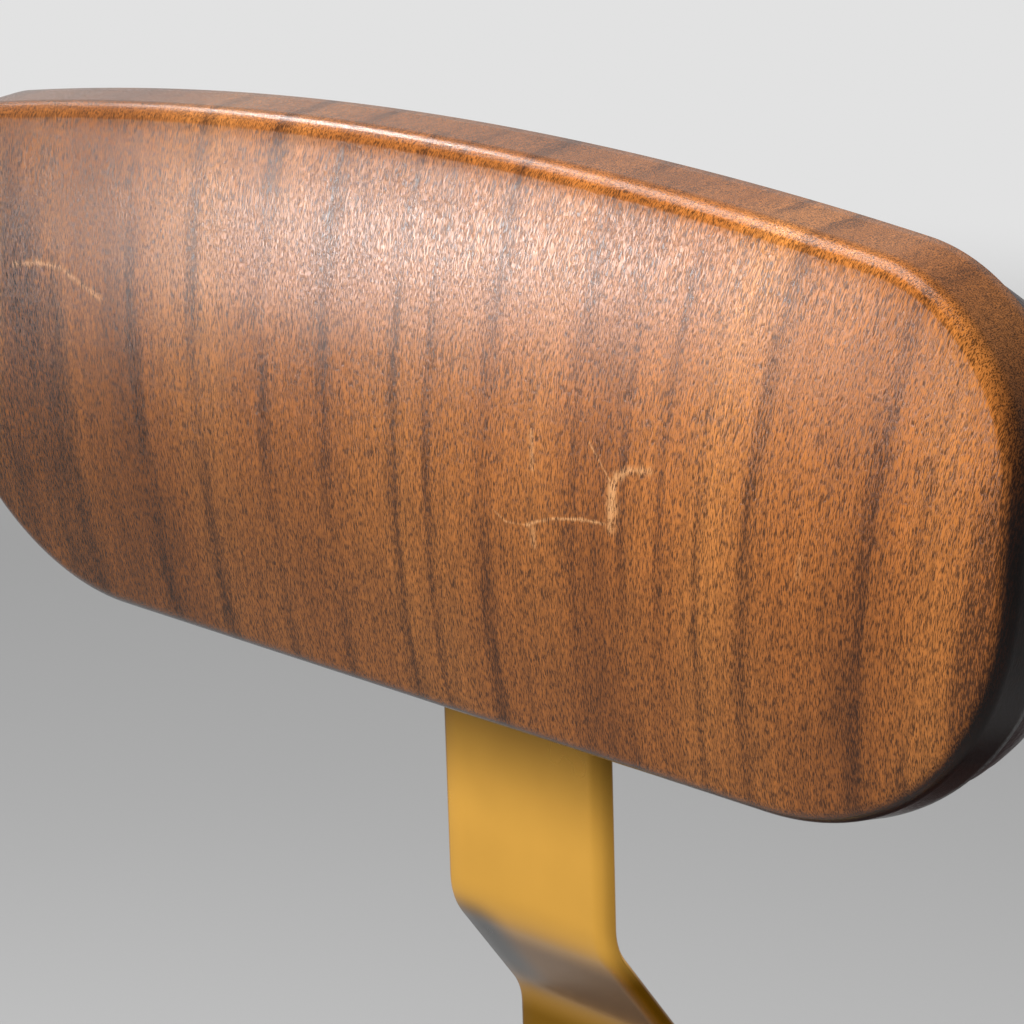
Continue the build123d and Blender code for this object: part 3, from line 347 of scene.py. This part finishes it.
# Seat cushion: foam on the board under coated near-black oxblood cloth, crowned, its boxed side drawn
# in at the pan's rim, with a corded welt round the top panel and another along the pan.
SEAT_HALF, SEAT_DEPTH, SEAT_MIDDLE, SEAT_BOW, SEAT_NARROW = 201.0, 388.0, -8.0, 10.0, 14.0
SEAT_FRONT_CORNER, SEAT_REAR_CORNER, SEAT_CROWN = 74.0, 92.0, 2200.0
PAN_RIM = 1000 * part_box("seat_pan")[1][2]
SEAT_TOP = 1000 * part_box("seat_cushion")[1][2]
SIDE_LEVELS = ((0.4, -6.0), (3.0, -4.0), (8.0, -1.0), (16.0, 1.2), (24.0, 1.6), (30.0, 0.8))
TOP_LEVELS = ((8.0, -1.5), (4.0, -4.5), (1.6, -10.0), (0.4, -18.0), (0.0, -30.0))
UNDER_SHARES, CROWN_SHARES = (0.3, 0.6, 0.9), (0.8, 0.6, 0.4, 0.2, 0.05)
TOP_WELT_IN, TOP_WELT_DROP, RIM_WELT_IN, RIM_WELT_RISE = -3.0, 5.0, -4.0, 3.0
CLOTH_CELL, CLOTH_PRESSURE, CLOTH_CAP, CLOTH_FRAMES = 0.005, 4.0, 0.004, 20
CORD_R, CORD_SIDES = 0.0024, 12
CLOTH_DARK, CLOTH_PALE, CLOTH_GLOSS = (0.018, 0.005, 0.005), (0.036, 0.009, 0.008), (0.40, 0.52)
GRAIN_CELL, CREASE_CELL, PATCH_CELL = 700.0, 160.0, 18.0

upholstery, tree, shader = material("upholstery")
place = node(tree, "ShaderNodeTexCoord").outputs["Object"]
pebbled = node(tree, "ShaderNodeTexVoronoi", {"Vector": place, "Scale": GRAIN_CELL}, feature="F1")
grain = pebbled.outputs["Distance"]
crease = noise(tree, place, CREASE_CELL, 4, 0.6)
patch = noise(tree, place, PATCH_CELL, 3)
tone = ramp(tree, patch, ((0.3, CLOTH_DARK), (0.7, CLOTH_PALE)))
tone = mix(tree, "MULTIPLY", 0.5, tone, ramp(tree, grain, ((0.1, 1.0), (0.7, 0.45))))
tree.links.new(tone, shader.inputs["Base Color"])
tree.links.new(eased(tree, patch, 0.3, 0.7, *CLOTH_GLOSS), shader.inputs["Roughness"])
bump(tree, shader, arithmetic(tree, "MULTIPLY_ADD", crease, 0.6, grain), 0.4, 0.0004)
finish["upholstery"] = upholstery


def arc(centre, radius, start, end, count):
    """Points on an arc between two angles."""
    angle = np.linspace(start, end, count)[:, None]
    return np.array(centre) + radius * np.hstack([np.cos(angle), np.sin(angle)])


def bowed_end(half, edge, bow, way):
    """Centre and radius of an end bowed outwards by bow between its corners, way -1 down or 1 up."""
    radius = (half ** 2 + bow ** 2) / (2 * bow)
    return np.array([0, edge + way * (bow - radius)]), radius


def round_corner(corner, along, inward, radius, middle, bow_radius):
    """Centre of a round corner that touches, from inside, a straight side and an end bowed about middle."""
    base = corner + inward * radius - middle
    turn = -base @ along - math.sqrt((base @ along) ** 2 - base @ base + (bow_radius - radius) ** 2)
    return corner + inward * radius + along * turn


def heading(spoke):
    """Angle of a spoke."""
    return math.atan2(spoke[1], spoke[0])


def mirrored(half_line):
    """Closed loop from its right half, which starts and ends on the middle line."""
    return np.vstack([half_line, (half_line * [-1, 1])[::-1][1:-1]])


def seat_outline(grow, count=40):
    """Closed seat outline let out by grow: bowed front and rear, narrower at the rear, round corners."""
    half = SEAT_HALF + grow
    front = SEAT_MIDDLE - SEAT_DEPTH / 2 + SEAT_BOW - grow
    rear = SEAT_MIDDLE + SEAT_DEPTH / 2 - SEAT_BOW + grow
    front_mid, front_r = bowed_end(half, front, SEAT_BOW, -1)
    rear_mid, rear_r = bowed_end(half - SEAT_NARROW, rear, SEAT_BOW, 1)
    low, high = np.array([half, front]), np.array([half - SEAT_NARROW, rear])
    along = (high - low) / np.linalg.norm(high - low)
    inward = np.array([-along[1], along[0]])
    low_r, high_r = SEAT_FRONT_CORNER + grow, SEAT_REAR_CORNER + grow
    low_at = round_corner(low, along, inward, low_r, front_mid, front_r)
    high_at = round_corner(high, -along, inward, high_r, rear_mid, rear_r)
    front_turn, side, rear_turn = heading(low_at - front_mid), heading(-inward), heading(high_at - rear_mid)
    return mirrored(np.vstack([
        arc(front_mid, front_r, -math.pi / 2, front_turn, count)[:-1],
        arc(low_at, low_r, front_turn, side, count),
        arc(high_at, high_r, side, rear_turn, count)[:-1],
        arc(rear_mid, rear_r, rear_turn, math.pi / 2, count)]))


def on_seat(outline, height):
    """Chair coordinates in metres of outline points at one height or a height each."""
    return np.column_stack([outline, np.broadcast_to(height, len(outline))]) / 1000


def crowned(outline, drop):
    """Heights of the cushion's crowned top over outline points, let down by drop."""
    away = np.linalg.norm(outline - [0, SEAT_MIDDLE], axis=1)
    return SEAT_TOP - 1 - drop - away ** 2 / (2 * SEAT_CROWN)


def surface(name, rings, body, look):
    """Closed skin over a run of rings with equal counts; each end is closed to its middle."""
    count = len(rings[0])
    points = np.vstack([*rings, rings[0].mean(0), rings[-1].mean(0)])
    index = np.arange(len(rings) * count).reshape(len(rings), count)
    around = np.roll(index, -1, axis=1)
    quads = np.stack([index[:-1], around[:-1], around[1:], index[1:]], -1).reshape(-1, 4)
    first, last = len(points) - 2, len(points) - 1
    caps = np.vstack([np.stack([np.full(count, first), around[0], index[0]], -1),
                      np.stack([np.full(count, last), index[-1], around[-1]], -1)])
    mesh = bpy.data.meshes.new(name)
    mesh.from_pydata(points.tolist(), [], quads.tolist() + caps.tolist())
    made = bpy.data.objects.new(name, mesh)
    scene.collection.objects.link(made)
    bpy.context.view_layer.objects.active = made
    made.select_set(True)
    bpy.ops.object.mode_set(mode="EDIT")
    bpy.ops.mesh.select_all(action="SELECT")
    bpy.ops.mesh.normals_make_consistent(inside=False)
    bpy.ops.object.mode_set(mode="OBJECT")
    made.select_set(False)
    mesh.polygons.foreach_set("use_smooth", np.full(len(mesh.polygons), True))
    dress(made, look)
    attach(made, body)
    return made


def stuffed(cover, held):
    """Even out a cover's mesh, blow it up gently as cloth and keep each point within the cap.

    held says which points stay where they are, as a function of their places.
    """
    bpy.context.view_layer.objects.active = cover
    even = cover.modifiers.new("even", "REMESH")
    even.mode = "VOXEL"
    even.voxel_size = CLOTH_CELL
    bpy.ops.object.modifier_apply(modifier=even.name)
    mesh = cover.data
    rest = np.empty(len(mesh.vertices) * 3, np.float32)
    mesh.vertices.foreach_get("co", rest)
    rest = rest.reshape(-1, 3)
    pinned = cover.vertex_groups.new(name="held")
    pinned.add(np.flatnonzero(held(rest)).tolist(), 1.0, "REPLACE")
    cloth = cover.modifiers.new("cloth", "CLOTH")
    cloth.settings.use_pressure = True
    cloth.settings.uniform_pressure_force = CLOTH_PRESSURE
    cloth.settings.effector_weights.gravity = 0
    cloth.settings.vertex_group_mass = pinned.name
    cloth.settings.bending_stiffness = 2.0
    cloth.point_cache.frame_end = CLOTH_FRAMES
    for step in range(1, CLOTH_FRAMES + 1):
        scene.frame_set(step)
    blown = np.empty_like(rest).ravel()
    cover.evaluated_get(bpy.context.evaluated_depsgraph_get()).data.vertices.foreach_get("co", blown)
    move = blown.reshape(-1, 3) - rest
    size = np.linalg.norm(move, axis=1, keepdims=True)
    rest = rest + move * np.minimum(1, CLOTH_CAP / np.maximum(size, 1e-9))
    cover.modifiers.remove(cloth)
    scene.frame_set(1)
    mesh.vertices.foreach_set("co", rest.ravel())
    soften = cover.modifiers.new("soften", "SMOOTH")
    soften.factor, soften.iterations = 0.5, 6
    bpy.ops.object.modifier_apply(modifier=soften.name)
    fine = cover.modifiers.new("fine", "SUBSURF")
    fine.levels = fine.render_levels = 1
    mesh.polygons.foreach_set("use_smooth", np.full(len(mesh.polygons), True))
    mesh.update()
    return cover


def welt(name, cover, path, body):
    """Corded edge: a round cord carried along a closed path laid on a cover's surface."""
    found = BVHTree.FromObject(cover, bpy.context.evaluated_depsgraph_get())
    path = np.array([found.find_nearest(Vector(p))[0][:] for p in path])
    for _ in range(8):
        path = (np.roll(path, 1, 0) + 2 * path + np.roll(path, -1, 0)) / 4
    along = np.roll(path, -1, 0) - np.roll(path, 1, 0)
    along /= np.linalg.norm(along, axis=1, keepdims=True)
    outward = path - path.mean(0)
    outward -= along * (outward * along).sum(1, keepdims=True)
    outward /= np.linalg.norm(outward, axis=1, keepdims=True)
    over = np.cross(along, outward)
    angle = np.linspace(0, 2 * math.pi, CORD_SIDES + 1)[:-1]
    points = path[:, None] + CORD_R * (outward[:, None] * np.cos(angle)[None, :, None]
                                       + over[:, None] * np.sin(angle)[None, :, None])
    index = np.arange(len(path) * CORD_SIDES).reshape(len(path), CORD_SIDES)
    onward, up = np.roll(index, -1, axis=0), np.roll(index, -1, axis=1)
    quads = np.stack([index, up, np.roll(onward, -1, axis=1), onward], -1).reshape(-1, 4)
    mesh = bpy.data.meshes.new(name)
    mesh.from_pydata(points.reshape(-1, 3).tolist(), [], quads.tolist())
    mesh.polygons.foreach_set("use_smooth", np.full(len(quads), True))
    made = bpy.data.objects.new(name, mesh)
    scene.collection.objects.link(made)
    dress(made, "upholstery")
    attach(made, body)
    return made


foot_rise, foot_grow = SIDE_LEVELS[0]
seat_rings = [on_seat(seat_outline(foot_grow) * share, PAN_RIM + foot_rise) for share in UNDER_SHARES]
seat_rings += [on_seat(seat_outline(grow), PAN_RIM + rise) for rise, grow in SIDE_LEVELS]
for drop, grow in TOP_LEVELS:
    loop = seat_outline(grow)
    seat_rings.append(on_seat(loop, crowned(loop, drop)))
for share in CROWN_SHARES:
    loop = [0, SEAT_MIDDLE] + (seat_outline(TOP_LEVELS[-1][1]) - [0, SEAT_MIDDLE]) * share
    seat_rings.append(on_seat(loop, crowned(loop, 0)))
seat_cover = surface("seat_cushion_cover", seat_rings, "seat", "upholstery")
stuffed(seat_cover, lambda points: points[:, 2] < (PAN_RIM + 2) / 1000)
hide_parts("seat_cushion")
top_edge = seat_outline(TOP_WELT_IN)
welt("seat_cushion_welt_top", seat_cover, on_seat(top_edge, crowned(top_edge, TOP_WELT_DROP)), "seat")
rim_edge = seat_outline(RIM_WELT_IN)
welt("seat_cushion_welt_rim", seat_cover, on_seat(rim_edge, PAN_RIM + RIM_WELT_RISE), "seat")

# Strap: flat brass bar with rolled edges, bent up behind the seat, leaning back from a knee and
# stepped back under the shell. It is screwed to the plywood board in the back pad.
LEAN = math.radians(6)
BACK_AT = (0.0, 0.30939, 0.80994)
BACK_TOP, BACK_LOW = 36.75, -106.25
STRAP_HALF, STRAP_MID, STRAP_EDGE = 30.0, 2.0, 1.8
STRAP_FRONT, STRAP_RISE, STRAP_KNEE, STRAP_END = 88.0, 207.0, 515.0, 64.0
STEP_START, STEP_DROP, STEP_FORWARD, BOARD_FACE = 71.0, 33.0, 24.5, 44.5
STRAP_BENDS, FLAT_POINTS, EDGE_POINTS = (42, 120, 17, 17), 14, 5
# Colours over the strap: a slightly darker brass above the knee, painted shade under the shell, painted
# reflections of a dark surround below the step and in it, and a grey painted reflection at the step's left
# edge.
STRAP_TONES_AND_PAINTED_SHADE = (
    ((0.76, 0.40, 0.066), ((2, 500, 520),)),
    ((0.09, 0.046, 0.007), ((2, 660, 700),)),
    ((0.21, 0.098, 0.004), ((2, 520, 560), (2, 612, 600))),
    ((0.17, 0.072, 0.001), ((2, 600, 616), (2, 640, 626))),
    ((0.06, 0.057, 0.054), ((2, 606, 620), (2, 642, 630), (0, 8, 22))),
)
finish["strap_brass"] = satin_brass("strap_brass", STRAP_TONES_AND_PAINTED_SHADE)


def on_back(outline, depth):
    """Chair coordinates in metres of outline points at a depth in front of the back's outer face."""
    x, h = outline[:, 0], outline[:, 1]
    y = -depth * math.cos(LEAN) + h * math.sin(LEAN)
    z = depth * math.sin(LEAN) + h * math.cos(LEAN)
    return np.stack([x, y, z], 1) / 1000 + np.array(BACK_AT)


def side_point(depth, height):
    """Side view (y, z) in millimetres of a depth and height on the back."""
    return tuple(1000 * on_back(np.array([[0.0, height]]), depth)[0, 1:])


def rounded_run(points, radii, step=1.5):
    """Even points along an open run of straight lines whose corners are rounded."""
    points = [np.array(p, float) for p in points]
    run = [points[0][None]]
    start = points[0]
    for corner, after, radius in zip(points[1:-1], points[2:], radii):
        back = (start - corner) / np.linalg.norm(start - corner)
        onward = (after - corner) / np.linalg.norm(after - corner)
        half = math.acos(np.clip(back @ onward, -1, 1)) / 2
        centre = corner + (back + onward) / np.linalg.norm(back + onward) * radius / math.sin(half)
        enter, leave = corner + back * radius / math.tan(half), corner + onward * radius / math.tan(half)
        share = np.linspace(0, 1, 24)[:, None]
        spoke = enter - centre + (leave - enter) * share
        run.append(centre + radius * spoke / np.linalg.norm(spoke, axis=1, keepdims=True))
        start = leave
    run = np.vstack([*run, points[-1][None]])
    length = np.concatenate([[0], np.cumsum(np.linalg.norm(np.diff(run, axis=0), axis=1))])
    even = np.linspace(0, length[-1], int(length[-1] / step))
    return np.stack([np.interp(even, length, run[:, k]) for k in range(run.shape[1])], 1)


strap_low = 1000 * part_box("back_strap")[0][2] + STRAP_MID
strap_run = rounded_run([(STRAP_FRONT, strap_low), (STRAP_RISE, strap_low), (STRAP_RISE, STRAP_KNEE),
                         side_point(BOARD_FACE + STEP_FORWARD + STRAP_MID, BACK_LOW - STEP_START - STEP_DROP),
                         side_point(BOARD_FACE + STRAP_MID, BACK_LOW - STEP_START),
                         side_point(BOARD_FACE + STRAP_MID, BACK_LOW + STRAP_END)], STRAP_BENDS)
tangent = np.gradient(strap_run, axis=0)
tangent /= np.linalg.norm(tangent, axis=1, keepdims=True)
normal = np.stack([tangent[:, 1], -tangent[:, 0]], 1)
flat = np.linspace(-1, 1, FLAT_POINTS) * (STRAP_HALF - STRAP_EDGE)
quarter = np.linspace(0, math.pi / 2, EDGE_POINTS)
edge_x = STRAP_HALF - STRAP_EDGE + STRAP_EDGE * np.sin(quarter)
edge_n = STRAP_MID - STRAP_EDGE + STRAP_EDGE * np.cos(quarter)
half_section = np.vstack([np.stack([flat, np.full(FLAT_POINTS, STRAP_MID)], 1),
                          np.stack([edge_x, edge_n], 1)[1:]])
section = np.vstack([half_section, -half_section])
strap_rings = [np.stack([section[:, 0], at[0] + n[0] * section[:, 1], at[1] + n[1] * section[:, 1]], 1) / 1000
               for at, n in zip(strap_run, normal)]
strap = surface("back_strap_bar", strap_rings, "back", "strap_brass")
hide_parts("back_strap")
dress_nodes("back_board", "back_screws", "shell_standoffs")

# Back shell: one moulded walnut-faced skin with a bowed face, a rounded fold all round and a short
# side band that ends in a rim. It hangs on four blocks, so no screw shows. The face is scuffed.
# Painted shade darkens the face towards its foot and its left end, and darkens the lower side band.
TOP_HALF, LOW_NARROW = 197.2, 12.8
TOP_R, TOP_CORNER, LOW_CORNER = 1234.0, 42.0, 74.5
FACE_R, FOLD, FLARE, RIM, WALL, RIM_EASE = 812.0, 4.5, 1.7, 18.0, 3.0, 0.6
SCUFFS = (
    (((-39, -49), (-43, -51), (-50, -50.5)), 0.9, 0.5),
    (((-50, -50.5), (-54, -48.8), (-59, -47.2), (-68, -45.6), (-76, -45.2)), 1.3, 1.0),
    (((-91, -30), (-85, -31), (-81, -33), (-79, -37)), 3.0, 0.9),
    (((-79, -36), (-78.6, -41), (-77.6, -46)), 5.0, 1.0),
    (((-72.4, -26.6), (-75.6, -30.9), (-78.8, -35)), 0.9, 0.9),
    (((-53.5, -27.5), (-53.2, -36)), 2.4, 0.7),
    (((-52.1, -51.3), (-52, -55)), 2.8, 0.7),
    (((-135, -41), (-134, -46)), 3.0, 0.5),
    (((145, -15), (134, -13), (124, -13.2), (108, -19)), 2.4, 0.45),
)
BAND_SHARES, FACE_RINGS, FOLD_OUTER, FOLD_INNER = (0, 0.05, 0.25, 0.5, 0.75, 0.95), 24, 12, 6
# Painted shade on the face: darker towards its foot and towards its left end, at +X.
PAINTED_SHADE_FADES = ((2, 0, -95, 0.54), (0, -120, 40, 0.76), (0, 0, 150, 0.68))
BAND = (FACE_R, 0.1, 1.2, 15, -30)
GRAIN_LEAN = (0.104, -0.75, 1.6, -35)
back_shift = (0.0, BACK_AT[2] * math.sin(LEAN) - BACK_AT[1] * math.cos(LEAN),
              -BACK_AT[1] * math.sin(LEAN) - BACK_AT[2] * math.cos(LEAN))
finish["walnut_back"] = walnut("walnut_back", (LEAN, 0, 0), back_shift, SCUFFS, PAINTED_SHADE_FADES, BAND, GRAIN_LEAN)


def back_outline(grow, count=48):
    """Closed back outline let out by grow: crowned top, sides drawing in, round corners, flat foot."""
    half = TOP_HALF + grow
    shoulder = BACK_TOP - TOP_R + math.sqrt(TOP_R ** 2 - half ** 2) + grow
    middle, radius = bowed_end(half, shoulder, BACK_TOP + grow - shoulder, 1)
    corner, low = np.array([half, shoulder]), BACK_LOW - grow
    along = np.array([half - LOW_NARROW, low]) - corner
    along = along / np.linalg.norm(along)
    inward = np.array([along[1], -along[0]])
    upper, lower = TOP_CORNER + grow, LOW_CORNER + grow
    upper_at = round_corner(corner, along, inward, upper, middle, radius)
    lower_at = corner + inward * lower
    lower_at = lower_at + along * (low + lower - lower_at[1]) / along[1]
    top_turn, side_turn = heading(upper_at - middle), heading(-inward)
    return mirrored(np.vstack([
        arc(middle, radius, math.pi / 2, top_turn, count)[:-1],
        arc(upper_at, upper, top_turn, side_turn, count)[:-1],
        np.linspace(upper_at - inward * upper, lower_at - inward * lower, count // 2)[:-1],
        arc(lower_at, lower, side_turn, -math.pi / 2, count)[:-1],
        np.linspace((lower_at[0], low), (0, low), count)]))


def face_depth(outline, inset):
    """Depth of the face, bowed about X, at outline points, for the skin taken in by inset."""
    radius = FACE_R - inset
    return inset + radius - np.sqrt(radius ** 2 - outline[:, 1] ** 2)


def skin_rings(inset, steps):
    """Rings of the shell's skin from its rim along the band, over the fold to the middle of the face."""
    fold = FOLD - inset
    rings = []
    for share in BAND_SHARES:
        ease = 0 if share else math.copysign(RIM_EASE, 0.5 - inset)
        outline = back_outline(FLARE * (1 - share * RIM / (RIM + FOLD)) - inset - ease)
        rings.append((outline, RIM + (face_depth(outline, inset) + fold - RIM) * share))
    for turn in np.linspace(0, math.pi / 2, steps):
        outline = back_outline(FLARE * FOLD / (RIM + FOLD) - inset - fold * (1 - math.cos(turn)))
        rings.append((outline, face_depth(outline, inset) + fold * (1 - math.sin(turn))))
    edge = rings[-1][0]
    middle = np.array([0, (BACK_TOP + BACK_LOW) / 2])
    for share in np.linspace(1, 0.02, FACE_RINGS)[1:]:
        outline = middle + (edge - middle) * share
        rings.append((outline, face_depth(outline, inset)))
    return [on_back(outline, depth) for outline, depth in rings]


shell_rings = skin_rings(0, FOLD_OUTER)[::-1] + skin_rings(WALL, FOLD_INNER)
back_shell = surface("back_shell_skin", shell_rings, "back", "walnut_back")
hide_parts("back_shell")

# Back pad: foam round the plywood board under the same cloth, drawn in just in front of the shell's
# rim and tapering to a crowned front, with a corded welt round the front panel.
PAD_REAR, PAD_FRONT, PAD_CROWN, PAD_HELD = 18.3, 82.0, 330.0, 1.5
PAD_SIDE = ((PAD_REAR, -1.6, 0.0), (21, -1.2, -1.0), (25, -1.2, -2.4), (30, -2.2, -4.0),
            (38, -5.8, -5.0), (48, -10.8, -6.2), (58, -15.8, -7.4))
PAD_FACE = ((11.0, -20.0, -8.5), (6.0, -24.0, -9.0), (2.5, -30.0, -9.5), (0.8, -37.0, -10.0),
            (0.0, -45.0, -10.0))
PAD_REAR_SHARES, PAD_CROWN_SHARES = (0.3, 0.6, 0.85), (0.75, 0.5, 0.25, 0.05)
FRONT_WELT_IN, FRONT_WELT_SHIFT, FRONT_WELT_DROP = -21.5, -8.7, 9.0
pad_middle = np.array([0, (BACK_TOP + BACK_LOW) / 2 + PAD_FACE[-1][2]])


def pad_front(outline, drop):
    """Depth of the pad's crowned front, drop behind its highest line."""
    return PAD_FRONT - drop - PAD_CROWN + np.sqrt(PAD_CROWN ** 2 - (outline - pad_middle)[:, 1] ** 2)


def behind_rim(points):
    """Points of the pad at or behind the shell's rim."""
    out = np.array([0, math.cos(LEAN), -math.sin(LEAN)])
    return (points - np.array(BACK_AT)) @ out > -(PAD_REAR + PAD_HELD) / 1000


pad_rings = [on_back(back_outline(PAD_SIDE[0][1]) * share, PAD_REAR) for share in PAD_REAR_SHARES]
pad_rings += [on_back(back_outline(grow) + [0, shift], depth) for depth, grow, shift in PAD_SIDE]
for drop, grow, shift in PAD_FACE:
    loop = back_outline(grow) + [0, shift]
    pad_rings.append(on_back(loop, pad_front(loop, drop)))
for share in PAD_CROWN_SHARES:
    inner = pad_middle + (loop - pad_middle) * share
    pad_rings.append(on_back(inner, pad_front(inner, 0)))
back_pad = surface("back_cushion_cover", pad_rings, "back", "upholstery")
stuffed(back_pad, behind_rim)
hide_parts("back_cushion")
front_edge = back_outline(FRONT_WELT_IN) + [0, FRONT_WELT_SHIFT]
welt("back_cushion_welt", back_pad, on_back(front_edge, pad_front(front_edge, FRONT_WELT_DROP)), "back")

# Stage: pale painted floor that fades into a pale surround, one broad soft light and two small ones on
# the chair's left, which shine in the back's face and in its fold, and the photograph's camera behind.
FLOOR_HALF, FLOOR_GLOSS, FLOOR_SHADOW_RUN, FLOOR_FADE_RUN = 12.0, 0.7, (0.5, 1.6), (3.0, 7.0)
# The near tone is a painted shadow: the floor is darker round the chair.
FLOOR_NEAR_PAINTED_SHADOW, FLOOR_FAR = (0.38, 0.38, 0.38), (0.455, 0.455, 0.455)
SKY_TOWARD, SKY_RUN, SKY_LEVELS = (0.73, -0.68, 0.0), (-0.4, 0.8), (0.42, 0.76)
CAMERA_AT, CAMERA_TURN, CAMERA_LENS = (-0.61232, 0.85257, 0.92814), (78.1155, -2.7006, -133.5425), 122.62
floor_mesh = bpy.data.meshes.new("floor")
corners = np.array([(-1, -1, 0), (1, -1, 0), (1, 1, 0), (-1, 1, 0)]) * FLOOR_HALF
floor_mesh.from_pydata(corners.tolist(), [], [(0, 1, 2, 3)])
floor = bpy.data.objects.new("floor", floor_mesh)
scene.collection.objects.link(floor)
paint, tree, shader = material("floor_paint")
place = node(tree, "ShaderNodeTexCoord").outputs["Object"]
away = node(tree, "ShaderNodeVectorMath", {0: place}, operation="LENGTH").outputs["Value"]
# Painted shadow: the floor is darker near the chair and turns to its far tone between the two distances.
tone = mix(tree, "MIX", eased(tree, away, *FLOOR_SHADOW_RUN), FLOOR_NEAR_PAINTED_SHADOW, FLOOR_FAR)
tree.links.new(tone, shader.inputs["Base Color"])
shader.inputs["Roughness"].default_value = FLOOR_GLOSS
tree.links.new(eased(tree, away, *FLOOR_FADE_RUN, 1.0, 0.0), shader.inputs["Alpha"])
floor.data.materials.append(paint)

world = bpy.data.worlds.new("studio")
scene.world = world
world.use_nodes = True
tree = world.node_tree
tree.nodes.clear()
way = node(tree, "ShaderNodeTexCoord").outputs["Generated"]
facing = node(tree, "ShaderNodeVectorMath", {0: way, 1: SKY_TOWARD}, operation="DOT_PRODUCT").outputs["Value"]
level = eased(tree, facing, *SKY_RUN, *SKY_LEVELS)
sky = node(tree, "ShaderNodeBackground", {"Color": (1.0, 1.0, 1.0, 1), "Strength": level})
node(tree, "ShaderNodeOutputWorld", {"Surface": sky.outputs[0]})


def softbox(name, place, target, width, height, power, beam=180):
    """Rectangular lamp aimed at a point, with its light kept inside a beam in degrees."""
    lamp = bpy.data.lights.new(name, "AREA")
    lamp.shape = "RECTANGLE"
    lamp.size, lamp.size_y, lamp.energy = width, height, power
    lamp.spread = math.radians(beam)
    made = bpy.data.objects.new(name, lamp)
    made.location = place
    made.rotation_euler = (Vector(target) - Vector(place)).to_track_quat("-Z", "Y").to_euler()
    made.visible_camera = False
    scene.collection.objects.link(made)
    return made


softbox("low_light", (0.788, 1.070, 0.539), (0, 0.3, 0.82), 0.315, 0.118, power=2.3, beam=120)
softbox("high_light", (0.7, 1.4, 2.4), (0, 0.3, 0.7), 1.5, 1.5, power=78)
softbox("fold_light", (1.46, 0.55, 2.10), (0, 0.3, 0.84), 0.60, 0.24, power=9.0, beam=120)

camera_data = bpy.data.cameras.new("camera")
camera_data.lens, camera_data.sensor_width = CAMERA_LENS, 36
camera = bpy.data.objects.new("camera", camera_data)
camera.location = CAMERA_AT
camera.rotation_euler = [math.radians(turn) for turn in CAMERA_TURN]
scene.collection.objects.link(camera)
scene.camera = camera
scene.view_settings.view_transform = "Standard"
